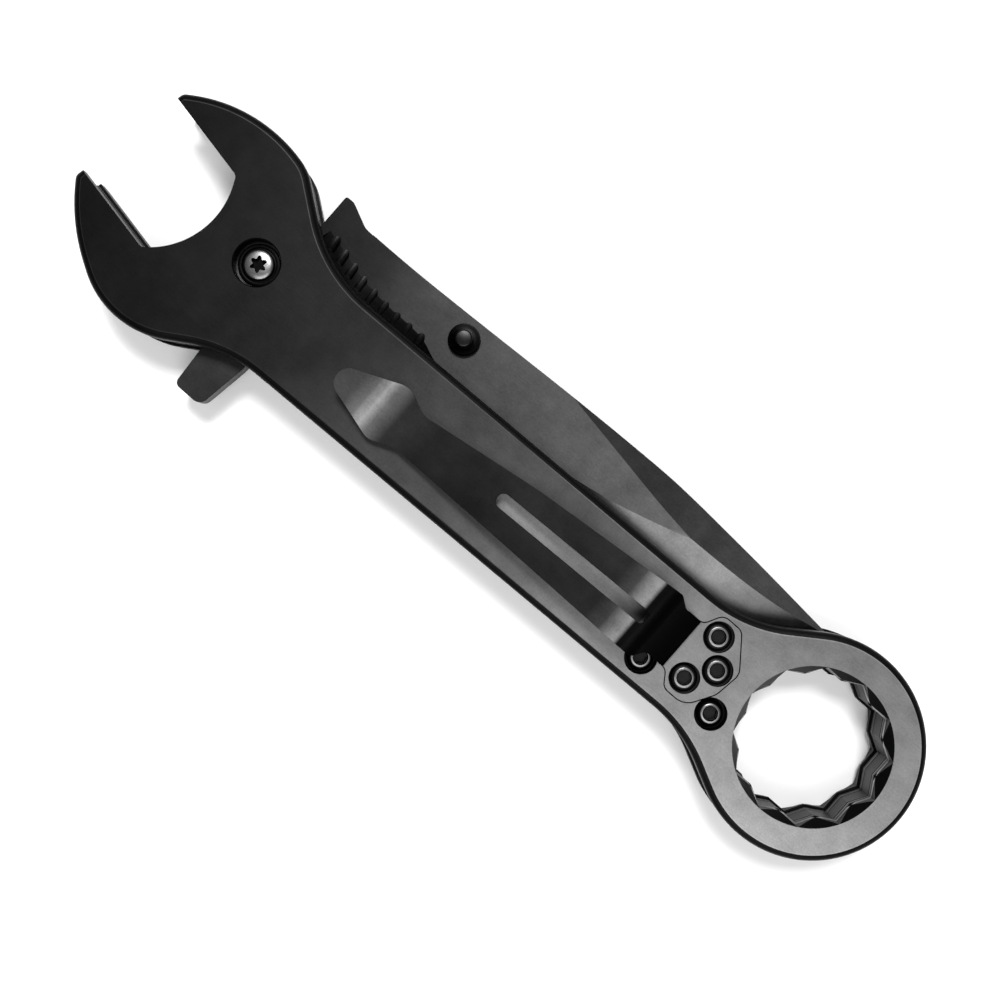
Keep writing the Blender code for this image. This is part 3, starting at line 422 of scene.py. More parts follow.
def steel(name, tones, gloss, bump=0.05, tint=(1.0, 1.0, 1.0), slant=0.0):
    """A steel whose tone changes along the knife: (x in millimetres from the pivot, tone).

    With a slant, the side away from the spine takes the tone of a place further towards the ring.
    These changes of tone along and across the knife are painted light.
    """
    finish = bpy.data.materials.new(name)
    finish.use_nodes = True
    tree = finish.node_tree
    surface = tree.nodes["Principled BSDF"]
    where = tree.nodes.new("ShaderNodeTexCoord").outputs["Object"]
    split = tree.nodes.new("ShaderNodeSeparateXYZ")
    tree.links.new(where, split.inputs["Vector"])
    span = tree.nodes.new("ShaderNodeMapRange")
    first, last = tones[0][0], tones[-1][0]
    span.inputs["From Min"].default_value = PIVOT.x + first * MM
    span.inputs["From Max"].default_value = PIVOT.x + last * MM
    side = math_node(tree, "MULTIPLY", split.outputs["Y"], slant)
    tree.links.new(math_node(tree, "SUBTRACT", split.outputs["X"], side), span.inputs["Value"])
    ramp = tree.nodes.new("ShaderNodeValToRGB")
    steps = ramp.color_ramp.elements
    for i, (x, tone) in enumerate(tones):
        place = (x - first) / (last - first)
        if i == 0 or i == len(tones) - 1:
            step = steps[0] if i == 0 else steps[len(steps) - 1]
        else:
            step = steps.new(place)
        step.position = place
        step.color = (tone, tone, tone, 1)
    tree.links.new(span.outputs["Result"], ramp.inputs["Fac"])
    rub = tree.nodes.new("ShaderNodeGroup")
    rub.node_tree = satin
    rub.inputs["Gloss"].default_value = gloss
    tree.links.new(ramp.outputs["Color"], rub.inputs["Tone"])
    colour = tree.nodes.new("ShaderNodeCombineColor")
    for channel, share in zip(("Red", "Green", "Blue"), tint):
        tree.links.new(math_node(tree, "MULTIPLY", rub.outputs["Tone"], share), colour.inputs[channel])
    tree.links.new(colour.outputs["Color"], surface.inputs["Base Color"])
    tree.links.new(rub.outputs["Roughness"], surface.inputs["Roughness"])
    relief = tree.nodes.new("ShaderNodeBump")
    relief.inputs["Strength"].default_value = bump
    relief.inputs["Distance"].default_value = 0.00005
    tree.links.new(rub.outputs["Height"], relief.inputs["Height"])
    tree.links.new(relief.outputs["Normal"], surface.inputs["Normal"])
    surface.inputs["Metallic"].default_value = 1.0
    return finish


# Painted light: the flats' tone runs from dark at the jaw to light at the ring, and is lighter on the side
# away from the spine.
PLATE_SATIN_PAINTED_LIGHT = steel("plate_satin_painted_light", [
    (-30, 0.0050), (0, 0.0085), (18, 0.0115), (30, 0.024), (50, 0.044), (60, 0.062), (70, 0.090),
    (80, 0.125), (96, 0.145), (130, 0.21),
], 0.40, slant=0.8)
PLATE_BLACK = steel("plate_black", [(-30, 0.006), (130, 0.009)], 0.46, 0.03)
# Painted highlight on top of real rubbing: the rim's last step and the bore's ledge are lightened as bright
# edge lines, more towards the ring.
PLATE_RUBBED_HIGHLIGHT = steel("plate_rubbed_edge_highlight", [
    (-30, 0.02), (20, 0.02), (50, 0.03), (80, 0.12), (130, 0.28),
], 0.46, 0.02)
# Painted light: a strip of the plate under the clip's slot, made brighter than the plate about it.
PLATE_PAINTED_LIGHT_STRIP = steel("plate_painted_light_strip", [(48, 0.15), (60, 0.21), (73, 0.20), (79, 0.06)], 0.38, 0.03)


def face_finishes(piece, face, finishes):
    """Flats, all below them, the rubbed line where the two meet and the bore's ledge, both with a painted
    highlight, and the strip of painted light under the slot.
    """
    piece.data.materials.clear()
    for finish in finishes:
        piece.data.materials.append(finish)
    flats, blacked, rubbed, painted_light_strip = range(4)
    hair = 0.01
    sense = 1 if face == TOP else -1
    for polygon in piece.data.polygons:
        slope = polygon.normal.z * sense
        below = (face - polygon.center.z / MM) * sense
        if slope > 0.995 and below < hair:
            polygon.material_index = flats
        elif slope > 0.995 and abs(below - STRIP_DEPTH) < hair:
            polygon.material_index = painted_light_strip
        # the bore's ledge and the rim's last step take the painted highlight
        elif slope > 0.95 and abs(below - LEDGE_DEPTH) < hair:
            polygon.material_index = rubbed
        elif slope > 0.6 and below < 2 * hair:
            polygon.material_index = rubbed
        else:
            polygon.material_index = blacked


for plate, face, node in ((clip_plate, TOP, "clip_side_plate"), (rear_plate, REAR_FACE, "rear_plate")):
    face_finishes(plate, face, (PLATE_SATIN_PAINTED_LIGHT, PLATE_BLACK, PLATE_RUBBED_HIGHLIGHT, PLATE_PAINTED_LIGHT_STRIP))
    smooth_over(plate)
    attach(plate, "handle")
    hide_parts(node)

# ============================================================================ liners and lock bar
# Two thin steel sheets inside the plates, blanked to the same outline and set back from its edge. The
# lock bar is cut from the clip-side sheet and springs across when the blade opens. Left as blanked.

# lighter towards the ring: painted light
LINER_BLACK = steel("liner_black", [(-30, 0.03), (60, 0.06), (130, 0.11)], 0.40, 0.04)


def refinish(node, finish):
    """A new finish on a node that keeps its shape."""
    for place in bpy.data.objects[node].material_slots:
        place.link = "OBJECT"
        place.material = finish


for node in ("clip_side_liner", "rear_liner", "lock_bar"):
    refinish(node, LINER_BLACK)

# ============================================================================ spacer
# One steel piece that fills the ring between the liners and runs along the closed back as a strap.
# It is milled from bar and blacked all over.

# lighter towards the ring: painted light
SPACER_BLACK = steel("spacer_black", [(-30, 0.015), (130, 0.03)], 0.48, 0.06)
refinish("handle_spacer", SPACER_BLACK)

# ============================================================================ washers and stop pin
# Two phosphor bronze washers in pockets each side of the tang, and a ground steel pin that the blade
# rests on when it is open and when it is closed. Both are dropped in before the plates close.

WASHER_BRONZE = steel("washer_bronze", [(-30, 0.42), (130, 0.46)], 0.36, 0.04, tint=(1.0, 0.62, 0.30))
PIN_STEEL = steel("ground_pin_steel", [(-30, 0.30), (130, 0.32)], 0.30, 0.03)
for node in ("washer_clip_side", "washer_rear_side"):
    refinish(node, WASHER_BRONZE)
refinish("stop_pin", PIN_STEEL)

# ============================================================================ pivot
# A domed screw with a six-lobed star recess, threaded into a flanged sleeve from the other side. Both
# are turned steel, blacked; the middle of the dome is rubbed a little brighter by the driver and
# lightened further by a painted highlight.

# Painted light: the black is darkened about the pivot's flange and lightened towards the ring; the rubbed
# faces' tone, brightest at the pivot and the ring end, is partly a painted highlight.
SCREW_BLACK = steel("screw_black", [(-30, 0.003), (10, 0.003), (40, 0.010), (130, 0.012)], 0.38, 0.03)
SCREW_RUBBED_HIGHLIGHT = steel("screw_rubbed_highlight", [
    (-30, 0.17), (10, 0.17), (25, 0.014), (50, 0.02), (75, 0.13), (130, 0.17),
], 0.30, 0.04)
PIVOT_HEAD = 3.3
PIVOT_SHANK = 1.3
BARREL = 2.4
BARREL_BORE = 1.6
STAR = 1.12                  # middle radius of the six-lobed recess
STAR_SWING = 0.22            # its lobes swing in and out by this share


def head_finishes(piece, x, y, reach, lowest, highest):
    """Black all over; rubbed, with a painted highlight, where the head's face lies within a radius and
    between two levels.
    """
    piece.data.materials.clear()
    piece.data.materials.append(SCREW_BLACK)
    piece.data.materials.append(SCREW_RUBBED_HIGHLIGHT)
    for polygon in piece.data.polygons:
        away = math.hypot(polygon.center.x / MM - PIVOT.x / MM - x, polygon.center.y / MM - PIVOT.y / MM - y)
        on_face = lowest <= polygon.center.z / MM <= highest and abs(polygon.normal.z) > 0.5
        polygon.material_index = 1 if away < reach and on_face else 0


low, high = (level.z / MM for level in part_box("pivot_screw"))
profile = [
    (0, high), (0.7, high - 0.01), (1.4, high - 0.04), (1.9, high - 0.10), (2.2, high - 0.20),
    (2.36, high - 0.32), (2.42, high - 0.46), (2.44, high - 0.80), (2.62, high - 0.84), (2.72, high - 0.66),
    (2.95, high - 0.62), (3.18, high - 0.68), (PIVOT_HEAD, high - 0.84),
    (PIVOT_HEAD, CLIP_INSIDE), (PIVOT_SHANK, CLIP_INSIDE), (PIVOT_SHANK, low), (0, low),
]
pivot_screw = turned("pivot_screw_domed", profile, 0, 0, 96)
star = []
for i in range(96):
    angle = math.radians(3.75 * i)
    reach = STAR * (1 + STAR_SWING * math.cos(6 * angle))
    star.append((reach * math.cos(angle), reach * math.sin(angle)))
shape_with(pivot_screw, drawn_up("star", star, high - 0.9, 2))
head_finishes(pivot_screw, 0, 0, 2.43, high - 0.5, high + 0.1)
smooth_over(pivot_screw)
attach(pivot_screw, "handle")
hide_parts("pivot_screw")

low, high = (level.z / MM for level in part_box("pivot_barrel"))
bore_end = 3.4
profile = [
    (0, bore_end), (BARREL_BORE, bore_end), (BARREL_BORE, high), (BARREL, high), (BARREL, REAR_INSIDE),
    (PIVOT_HEAD, REAR_INSIDE),
    (PIVOT_HEAD, low + 0.50), (3.24, low + 0.32), (3.08, low + 0.16), (2.80, low + 0.06), (2.3, low + 0.02),
    (1.2, low), (0, low),
]
barrel = turned("pivot_barrel_domed", profile, 0, 0, 96)
head_finishes(barrel, 0, 0, 2.9, low - 0.1, low + 0.2)
smooth_over(barrel)
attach(barrel, "handle")
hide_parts("pivot_barrel")

# ============================================================================ body and clip screws
# Button-head screws with hexagonal sockets, rolled and blacked. Two hold the plates, liners and spacer
# together; three shorter ones hold the clip's foot in its recess.

SCREW_HEAD = 2.1
SCREW_SHANK = 1.2
SOCKET_CORNER = 0.9 / math.cos(math.radians(30))
for group, centres in (("body_screw", BODY_SCREWS), ("clip_screw", CLIP_SCREWS)):
    for i, (x, y) in enumerate(centres, 1):
        node = f"{group}_{i}"
        end, high = (level.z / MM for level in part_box(node))
        tall = 1.1 if group == "body_screw" else 0.6
        low = high - tall
        profile = [
            (0, high), (1.40, high), (1.52, high - 0.05 * tall), (1.76, high - 0.20 * tall),
            (1.95, high - 0.40 * tall), (2.06, high - 0.58 * tall), (SCREW_HEAD, high - 0.78 * tall),
            (SCREW_HEAD, low), (SCREW_SHANK, low), (SCREW_SHANK, end + 0.2), (SCREW_SHANK - 0.2, end),
            (0, end),
        ]
        screw = turned(f"{node}_button", profile, x, y, 56)
        turn = 11 + 23 * i
        hexagon = [
            (x + SOCKET_CORNER * math.cos(math.radians(60 * k + turn)),
             y + SOCKET_CORNER * math.sin(math.radians(60 * k + turn))) for k in range(6)
        ]
        shape_with(screw, drawn_up("socket", hexagon, high - 0.8 * tall, 2))
        dish = [(0, high + 0.5), (SOCKET_CORNER + 0.66, high + 0.5), (SOCKET_CORNER - 0.02, high - 0.18),
                (0, high - 0.18)]
        shape_with(screw, turned("dish", dish, x, y, 40))
        head_finishes(screw, x, y, 1.50, high - 0.04, high + 0.1)
        smooth_over(screw)
        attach(screw, "handle")
        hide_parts(node)

# ============================================================================ the clip
# One strip of spring steel, blanked, bent up at the foot and down to a turned-up nose, with a long
# slot along the arm. Its edges are tumbled and it is blacked; the foot lies flush in the plate.

CLIP_NOSE = CLIP_BEND - 59.6
CLIP_WIDE = 24.0
CLIP_FLOOR = TOP + 4.2


def clip_side_view():
    """Side of the bent strip: (x, height) round its two faces."""
    half = CLIP_SHEET / 2
    top = CLIP_FLOOR + half
    path = rounded([
        (RING_NEAR + 7, TOP - half, 0),
        (CLIP_BEND + 6.2, TOP - half, 1.6),
        (CLIP_BEND + 0.2, top, 3.4),
        (CLIP_NOSE + 13.0, TOP + 0.3 + half, 16.0),
        (CLIP_NOSE + 6.5, TOP + 0.65 + half, 9.0),
        (CLIP_NOSE - 1.0, TOP + 3.4, 0),
    ], closed=False)
    upper = []
    lower = []
    for i, place in enumerate(path):
        ahead = path[min(i + 1, len(path) - 1)] - path[max(i - 1, 0)]
        side = Vector((-ahead.y, ahead.x)).normalized() * half
        upper.append(place - side)
        lower.append(place + side)
    return upper + lower[::-1]


def clip_plan():
    bend, nose = CLIP_BEND, CLIP_NOSE
    return rounded([
        (bend + 2.6, -5.7, 1.0),
        *clip_foot_corners()[1:-1],
        (bend + 3.0, 3.05, 1.5), (bend + 1.0, 4.25, 1.2), (bend - 25.0, 2.0, 90.0),
        (nose + 14.0, -0.9, 4.0), (nose + 9.8, 1.05, 3.2), (nose + 0.5, -3.1, 2.2),
        (nose + 0.6, -6.3, 2.2), (nose + 9.9, -9.1, 2.8), (nose + 14.2, -7.35, 4.0),
        (bend + 1.0, -7.75, 1.2),
    ])


side_view = clip_side_view()
deselect()
bpy.ops.mesh.primitive_circle_add(vertices=len(side_view), radius=MM, fill_type="NGON")
clip = bpy.context.object
clip.name = "pocket_clip"
clip.data.name = "pocket_clip"
for vertex, (x, height) in zip(clip.data.vertices, side_view):
    vertex.co = in_place((x, -CLIP_WIDE / 2, height))
edit_all(clip)
bpy.ops.mesh.extrude_region_move(TRANSFORM_OT_translate={"value": (0, CLIP_WIDE * MM, 0)})
bpy.ops.mesh.select_all(action="SELECT")
bpy.ops.mesh.normals_make_consistent(inside=False)
bpy.ops.object.mode_set(mode="OBJECT")
shape_with(clip, drawn_up("clip_plan", clip_plan(), TOP - 5, 17), "INTERSECT")
slot_outline = rounded([
    (CLIP_NOSE + 30.5, -3.9, 1.1), (CLIP_BEND - 0.7, -3.15, 0.6),
    (CLIP_BEND - 0.7, -0.85, 0.6), (CLIP_NOSE + 30.5, -1.6, 1.1),
])
shape_with(clip, drawn_up("slot", slot_outline, TOP - 4, 16))
FOOT_WELL_FLOOR = TOP - 0.9
for x, y in CLIP_SCREWS:
    well = [(0, TOP + 8), (SCREW_WELL, TOP + 8), (SCREW_WELL, FOOT_WELL_FLOOR),
            (SCREW_HOLE, FOOT_WELL_FLOOR), (SCREW_HOLE, TOP - 3), (0, TOP - 3)]
    shape_with(clip, turned("well", well, x, y, 56))
soften = clip.modifiers.new("tumbled_edges", "BEVEL")
soften.width = 0.18 * MM
soften.segments = 2
soften.limit_method = "ANGLE"
soften.angle_limit = math.radians(50)
pick(clip)
bpy.ops.object.modifier_apply(modifier=soften.name)

# Painted highlights across the bend and on the turned-up nose; the riser past the bend is painted near-black
# as shade.
CLIP_BLACK_PAINTED_HIGHLIGHTS = steel("clip_black_painted_highlights", [
    (18, 0.025), (24, 0.032), (26.2, 0.07), (27.8, 0.26), (29.2, 0.10), (32, 0.020), (38, 0.009),
    (55, 0.014), (72, 0.018), (74.6, 0.045), (76.6, 0.20), (77.5, 0.24), (78.1, 0.004), (88, 0.001),
], 0.30, 0.05)
# The foot's flats take the plates' painted-light tone. Edges, sides and well walls take the black finish,
# here also painted shade: a dark outline round the clip and dark wells in the foot.
clip.data.materials.clear()
for finish in (CLIP_BLACK_PAINTED_HIGHLIGHTS, PLATE_SATIN_PAINTED_LIGHT, PLATE_BLACK):
    clip.data.materials.append(finish)
springy, foot_satin_painted_light, edge_black_painted_shade = range(3)
for polygon in clip.data.polygons:
    along = (polygon.center.x - PIVOT.x) / MM
    across = (polygon.center.y - PIVOT.y) / MM
    height = polygon.center.z / MM
    in_well = height < TOP - 0.04 and any(
        math.hypot(along - x, across - y) < SCREW_WELL + 0.02 for x, y in CLIP_SCREWS
    )
    if in_well or abs(polygon.normal.y) > 0.12 or abs(polygon.normal.z) < 0.3:
        polygon.material_index = edge_black_painted_shade
    elif along > CLIP_BEND + 6 and height < TOP + 0.05 and polygon.normal.z > 0.9:
        polygon.material_index = foot_satin_painted_light
    else:
        polygon.material_index = springy
smooth_over(clip, 38)
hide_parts("clip_arm", "clip_foot")
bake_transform(clip)

# ============================================================================ the blade
# A spear-shaped blade, hollow ground below and with a false edge above, with a tang, a guard tab and a
# flipper round its pivot and a row of thumb scallops. Hardened steel, blacked and stonewashed.

BLADE_LOW, BLADE_HIGH = (level.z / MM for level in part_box("blade"))
BLADE_HALF = (BLADE_HIGH - BLADE_LOW) / 2
BLADE_MIDDLE = (BLADE_LOW + BLADE_HIGH) / 2
TIP = RING_NEAR + 9.1
TIP_Y = 14.6
EDGE_HALF = 0.15
TANG = 8.4
SPINE_AT_TAB = 15.15
WIDEST = 17.15
RIDGE = [(TIP - 25.9, 12.0), (TIP - 17.7, 12.25), (TIP - 12.5, 12.6), (TIP - 7.5, 13.2), (TIP, TIP_Y)]
SPINE = [(7.0, SPINE_AT_TAB), (20.0, SPINE_AT_TAB + 0.15), (TIP - 36.5, WIDEST),
         (TIP - 18.7, WIDEST - 0.8), (TIP, TIP_Y + 0.25)]
GRIND = [(9.0, 10.0), (13.0, 9.0), (18.0, 8.4), (25.5, 8.1), (31.0, 6.4), (TIP - 53.5, 6.3),
         (TIP - 45.4, 7.2), (TIP - 38.2, 8.5), (TIP - 33.1, 9.8), (TIP - 27.9, 11.3), RIDGE[0]]
EDGE = [(9.0, 5.3), (28.0, 4.9), (40.0, 3.6), (TIP - 43.5, 1.3), (TIP - 31.5, 0.9), (TIP - 21.5, 2.1),
        (TIP - 11.5, 6.0), (TIP - 4.5, 10.9), (TIP, TIP_Y - 0.15)]


def height_at(points, x):
    """Height at x of a smooth line through (x, y) points."""
    last = len(points) - 1
    x = min(max(x, points[0][0]), points[-1][0])
    k = 0
    while k < last - 1 and x > points[k + 1][0]:
        k += 1
    slopes = []
    for i in (k, k + 1):
        before, after = points[max(i - 1, 0)], points[min(i + 1, last)]
        slopes.append((after[1] - before[1]) / (after[0] - before[0]))
    width = points[k + 1][0] - points[k][0]
    t = (x - points[k][0]) / width
    ease = t * t * (3 - 2 * t)
    start = t * (1 - t) ** 2 * width * slopes[0]
    finish = -t * t * (1 - t) * width * slopes[1]
    return points[k][1] * (1 - ease) + points[k + 1][1] * ease + start + finish


SWEDGE_START = TIP - 53.5
SPINE_BREAK = 0.15           # broken edge along the spine
SWEDGE = [(SWEDGE_START, height_at(SPINE, SWEDGE_START) - SPINE_BREAK), (TIP - 43.3, 14.7),
          (TIP - 33.1, 12.96), RIDGE[0]]
HOLLOW_ROWS = 7


def blade_rows(x):
    """One cross-section, (y, half thickness), from the middle of the spine to the middle of the edge."""
    half = BLADE_HALF - 0.01
    into_swedge = min(max((x - SWEDGE_START) / (TIP - SWEDGE_START), 0), 1)
    into_ridge = min(max((x - RIDGE[0][0]) / (TIP - RIDGE[0][0]), 0), 1)
    ridge_half = half - (half - 0.25) * into_ridge ** 1.6
    spine_half = half - (half - 0.20) * min(into_swedge * 2.2, 1) ** 0.8
    top, bottom, line, shoulder = (height_at(points, x) for points in (SPINE, EDGE, GRIND, SWEDGE))
    if x < SWEDGE_START:
        shoulder, spine_half = top - SPINE_BREAK, half
    if x > RIDGE[0][0]:
        line = shoulder = height_at(RIDGE, x)
    rows = [(top, 0), (top, min(spine_half, ridge_half)), (shoulder, ridge_half), (line, ridge_half)]
    for i in range(1, HOLLOW_ROWS + 1):
        down = i / HOLLOW_ROWS
        thick = EDGE_HALF + (ridge_half - EDGE_HALF) * (1 - down) ** 1.25
        rows.append((line + (bottom - line) * down, thick))
    return rows + [(bottom, 0)]


GROUND_START = 9.6
GROUND_STEPS = 170
even = [GROUND_START + (TIP - GROUND_START) * i / GROUND_STEPS for i in range(GROUND_STEPS + 1)]
spots = sorted(even + [SWEDGE_START, RIDGE[0][0]])
row_count = len(blade_rows(spots[0]))
deselect()
bpy.ops.mesh.primitive_grid_add(x_subdivisions=len(spots) - 1, y_subdivisions=row_count - 1, size=MM)
ground = bpy.context.object
ground.name = "blade_ground"
for k, x in enumerate(spots):
    for row, (y, half) in enumerate(blade_rows(x)):
        ground.data.vertices[row * len(spots) + k].co = in_place((x, y, half))
other_side = ground.modifiers.new("other_side", "MIRROR")
other_side.use_axis = (False, False, True)
other_side.merge_threshold = 1e-7
pick(ground)
bpy.ops.object.modifier_apply(modifier=other_side.name)
edit_all(ground, "VERT")
bpy.ops.mesh.remove_doubles(threshold=1e-6)
bpy.ops.mesh.dissolve_degenerate(threshold=1e-7)
bpy.ops.mesh.select_all(action="SELECT")
bpy.ops.mesh.fill_holes(sides=0)
bpy.ops.mesh.select_all(action="SELECT")
bpy.ops.mesh.normals_make_consistent(inside=False)
bpy.ops.transform.translate(value=(0, 0, BLADE_MIDDLE * MM))
bpy.ops.object.mode_set(mode="OBJECT")



def middle_of(node):
    """Where a node's middle lies, in millimetres from the pivot."""
    low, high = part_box(node)
    return ((low.x + high.x) / 2 - PIVOT.x) / MM, ((low.y + high.y) / 2 - PIVOT.y) / MM


STOP_RADIUS = 1.5
FLIPPER_FRONT = middle_of("stop_pin")[0] + STOP_RADIUS + 0.3
tang = rounded([
    (6.6, 5.4, 0.4), (11.5, 5.6, 0), (11.5, SPINE_AT_TAB - 0.12, 0), (8.0, SPINE_AT_TAB + 0.01, 3.0),
    (4.1, 17.0, 0.6), (2.6, 17.0, 0.4), (2.6, 7.8, 0.5), (0, 8.0, 0), (0, -8.0, 0), (FLIPPER_FRONT, -8.0, 0),
    (FLIPPER_FRONT, -15.0, 8.0), (1.5, -22.4, 1.0), (6.7, -22.4, 1.6), (8.2, -13.0, 6.0),
    (6.2, -5.6, 2.0), (6.0, 0, 0),
])
blade = drawn_up("blade_stonewashed", tang, BLADE_LOW, BLADE_HIGH - BLADE_LOW)
disc = [(TANG * math.cos(math.radians(3 * i)), TANG * math.sin(math.radians(3 * i))) for i in range(120)]
shape_with(blade, drawn_up("tang_disc", disc, BLADE_LOW, BLADE_HIGH - BLADE_LOW), "UNION")
shape_with(blade, ground, "UNION")
WASHER_POCKET = 6.3
POCKET_DEPTH = 0.5
PIVOT_BORE = 2.7
bore = [(0, BLADE_HIGH + 1), (WASHER_POCKET, BLADE_HIGH + 1), (WASHER_POCKET, BLADE_HIGH - POCKET_DEPTH),
        (PIVOT_BORE, BLADE_HIGH - POCKET_DEPTH), (PIVOT_BORE, BLADE_LOW + POCKET_DEPTH),
        (WASHER_POCKET, BLADE_LOW + POCKET_DEPTH), (WASHER_POCKET, BLADE_LOW - 1), (0, BLADE_LOW - 1)]
shape_with(blade, turned("pivot_bore", bore, 0, 0, 72))
STUD_X, STUD_Y = middle_of("thumb_stud_clip_side")
STUD_HOLE = 1.3
stud_hole = [(0, BLADE_HIGH + 1), (STUD_HOLE, BLADE_HIGH + 1), (STUD_HOLE, BLADE_LOW - 1),
             (0, BLADE_LOW - 1)]
shape_with(blade, turned("stud_hole", stud_hole, STUD_X, STUD_Y, 32))

# the grind carried on across the tang, then the thumb scallops along its upper line
GRIND_DIP = math.radians(19)
GRIND_TURN = math.radians(-15)
GRIND_CORNER = (4.2, 11.35)
BLOCK = 10
for sense in (1, -1):
    deselect()
    corner = in_place((*GRIND_CORNER, BLADE_MIDDLE + sense * BLADE_HALF))
    bpy.ops.mesh.primitive_cube_add(size=BLOCK * MM, location=corner)
    tool = bpy.context.object
    for vertex in tool.data.vertices:
        vertex.co += Vector((1, -1, sense)) * (BLOCK / 2 * MM)
    tool.rotation_euler = (sense * GRIND_DIP, 0, GRIND_TURN)
    pick(tool)
    bpy.ops.object.transform_apply(location=True, rotation=True, scale=True)
    shape_with(blade, tool)

SCALLOPS = ((5.9, 11.55), (8.3, 10.85), (10.7, 10.2), (13.1, 9.6), (15.6, 9.2), (18.1, 8.95), (20.6, 8.8),
            (23.1, 8.75), (25.6, 8.8))
SCALLOP_RADIUS = 1.15
SCALLOP_DIP = math.radians(21)
SCALLOP_LENGTH = 4.2
SCALLOP_BACK = SCALLOP_LENGTH / 2 - 1.2
raised = BLADE_HALF + SCALLOP_RADIUS / math.cos(SCALLOP_DIP) - SCALLOP_BACK * math.sin(SCALLOP_DIP)
for x, y in SCALLOPS:
    for sense in (1, -1):
        middle = (x, y - SCALLOP_BACK * math.cos(SCALLOP_DIP), BLADE_MIDDLE + sense * raised)
        deselect()
        bpy.ops.mesh.primitive_cylinder_add(
            vertices=40, radius=SCALLOP_RADIUS * MM, depth=SCALLOP_LENGTH * MM, location=in_place(middle),
            rotation=(math.pi / 2 + sense * SCALLOP_DIP, 0, 0),
        )
        shape_with(blade, bpy.context.object)

# Painted light: the blade's tones run dark by the pivot and light towards the tip, the hollow grind's bright
# stretch is a painted reflection, and the flipper's flats are a lighter copy of the blade's flats.
BLADE_FLAT = steel("blade_flat", [
    (0, 0.0045), (14, 0.0070), (22, 0.017), (40, 0.030), (50, 0.036), (60, 0.054), (75, 0.085),
    (105, 0.12),
], 0.36, 0.06)
BLADE_SWEDGE = steel("blade_swedge", [(40, 0.02), (68, 0.03), (80, 0.05), (105, 0.11)], 0.36, 0.05)
BLADE_HOLLOW = steel("blade_hollow", [
    (5, 0.040), (14, 0.045), (22, 0.03), (52, 0.015), (60, 0.05), (66, 0.10), (84, 0.12), (94, 0.07),
    (105, 0.05),
], 0.36, 0.05)
BLADE_EDGES = steel("blade_edges", [(0, 0.014), (105, 0.02)], 0.40, 0.05)
FLIPPER_FLAT_PAINTED_LIGHT = steel("flipper_flat_painted_light", [(0, 0.022), (105, 0.03)], 0.36, 0.06)
blade.data.materials.clear()
for finish in (BLADE_FLAT, BLADE_SWEDGE, BLADE_HOLLOW, BLADE_EDGES, FLIPPER_FLAT_PAINTED_LIGHT):
    blade.data.materials.append(finish)
flat, swedge, hollow, edges, flipper = range(5)
for polygon in blade.data.polygons:
    along = (polygon.center.x - PIVOT.x) / MM
    across = (polygon.center.y - PIVOT.y) / MM
    facing = abs(polygon.normal.z)
    # the scallops' sides take the darker edge tone as painted shade
    scallop_side = along < 28 and across > 6 and abs(polygon.normal.x) > 0.28
    if facing > 0.9995:
        polygon.material_index = flipper if across < -5 else flat
    elif facing < 0.75:
        polygon.material_index = edges
    elif polygon.normal.y > 0.03 and along > SWEDGE_START:
        polygon.material_index = swedge
    else:
        polygon.material_index = edges if scallop_side else hollow
smooth_over(blade, 9)
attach(blade, "blade")
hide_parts("blade")

# ============================================================================ thumb studs
# A turned steel stud on each side of the blade, screwed together through it, blacked. The thumb wears
# the cap bright before the rest; the cap's tone, set along the knife, is painted light as well.

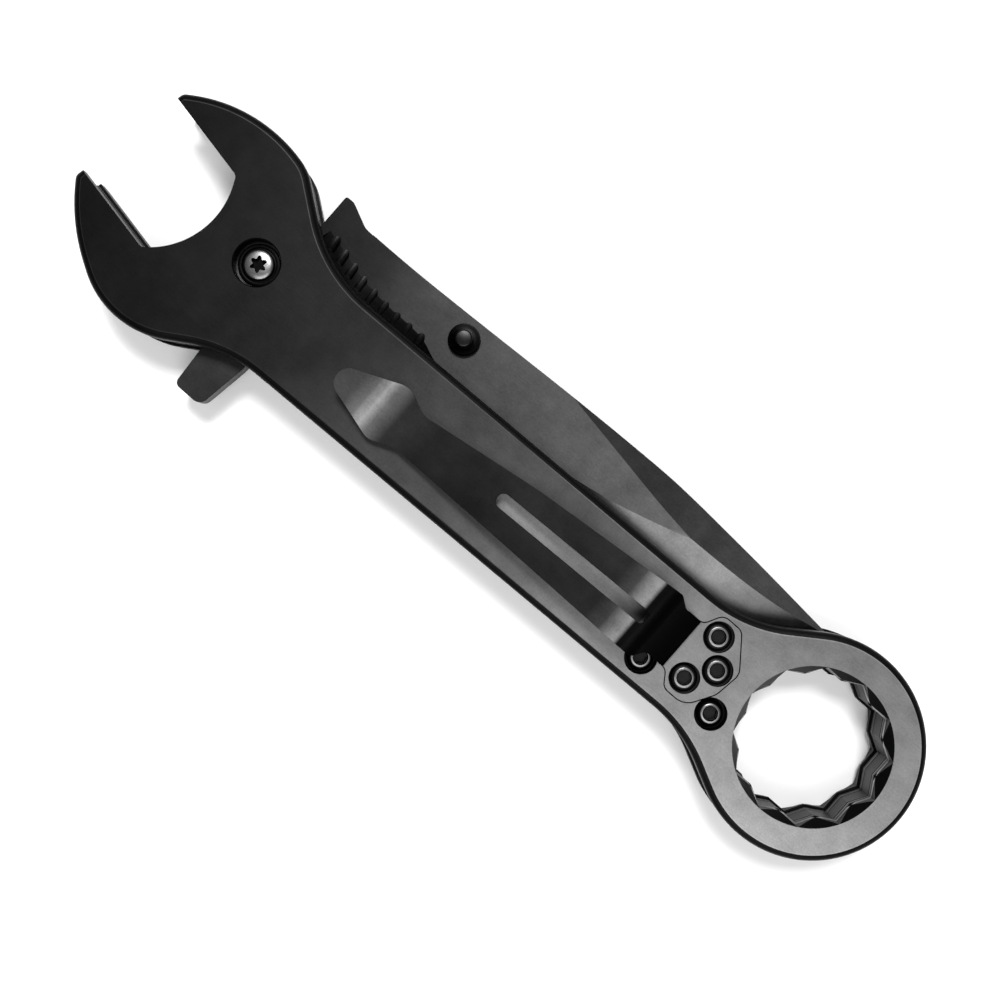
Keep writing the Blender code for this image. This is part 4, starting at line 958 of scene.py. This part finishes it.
for side, sense in (("clip", 1), ("rear", -1)):
    node = f"thumb_stud_{side}_side"
    low, high = (level.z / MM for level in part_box(node))
    tip, root = (high, low) if sense > 0 else (low, high)
    foot = BLADE_MIDDLE + sense * (BLADE_HALF + 0.3)
    profile = [
        (0, tip), (1.05, tip), (1.22, tip - sense * 0.04), (1.34, tip - sense * 0.14),
        (1.40, tip - sense * 0.3), (1.40, tip - sense * 0.85), (1.55, tip - sense * 1.2),
        (1.85, foot + sense * 1.02),
        (2.2, foot + sense * 0.72), (2.45, foot + sense * 0.52), (2.55, foot + sense * 0.34), (2.55, foot),
        (1.0, foot), (1.0, root), (0, root),
    ]
    stud = turned(f"{node}_turned", profile, STUD_X, STUD_Y, 72)
    head_finishes(stud, STUD_X, STUD_Y, 1.3, *sorted((tip, tip - sense * 0.1)))
    smooth_over(stud)
    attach(stud, "blade")
    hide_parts(node)

# ============================================================================ floor, light, view
# A sheet of white paper, a large softbox over the ring end, a smaller one from the far side, and a
# camera straight above.

bpy.ops.mesh.primitive_plane_add(size=4.0, location=(0, 0, -0.00005))
floor = bpy.context.object
floor.name = "pale_floor"
paper = bpy.data.materials.new("pale_paper")
paper.use_nodes = True
paper.node_tree.nodes["Principled BSDF"].inputs["Base Color"].default_value = (0.92, 0.92, 0.92, 1)
paper.node_tree.nodes["Principled BSDF"].inputs["Roughness"].default_value = 0.9
floor.data.materials.append(paper)

world = bpy.data.worlds.new("studio")
bpy.context.scene.world = world
world.use_nodes = True
world.node_tree.nodes["Background"].inputs["Color"].default_value = (1, 1, 1, 1)
world.node_tree.nodes["Background"].inputs["Strength"].default_value = 0.34


def soft_light(name, place, size, watts):
    """An area light aimed at the knife's middle."""
    lamp = bpy.data.lights.new(name, "AREA")
    lamp.shape = "RECTANGLE"
    lamp.size, lamp.size_y = size
    lamp.energy = watts
    holder = bpy.data.objects.new(name, lamp)
    bpy.context.scene.collection.objects.link(holder)
    holder.location = place
    holder.rotation_euler = (-Vector(place)).to_track_quat("-Z", "Y").to_euler()


soft_light("ring_end_softbox", (0.24, -0.30, 0.66), (0.55, 0.55), 3.8)
soft_light("top_light", (-0.26, 0.36, 0.92), (0.30, 0.30), 10)

camera_data = bpy.data.cameras.new("camera")
camera = bpy.data.objects.new("camera", camera_data)
bpy.context.scene.collection.objects.link(camera)
camera_data.lens = 42.8
camera_data.sensor_width = 36
camera.location = in_place((51.4, -2.9, TOP + 180))
camera.rotation_euler = (0, 0, math.radians(41.04))
bpy.context.scene.camera = camera
bpy.context.scene.view_settings.view_transform = "Standard"
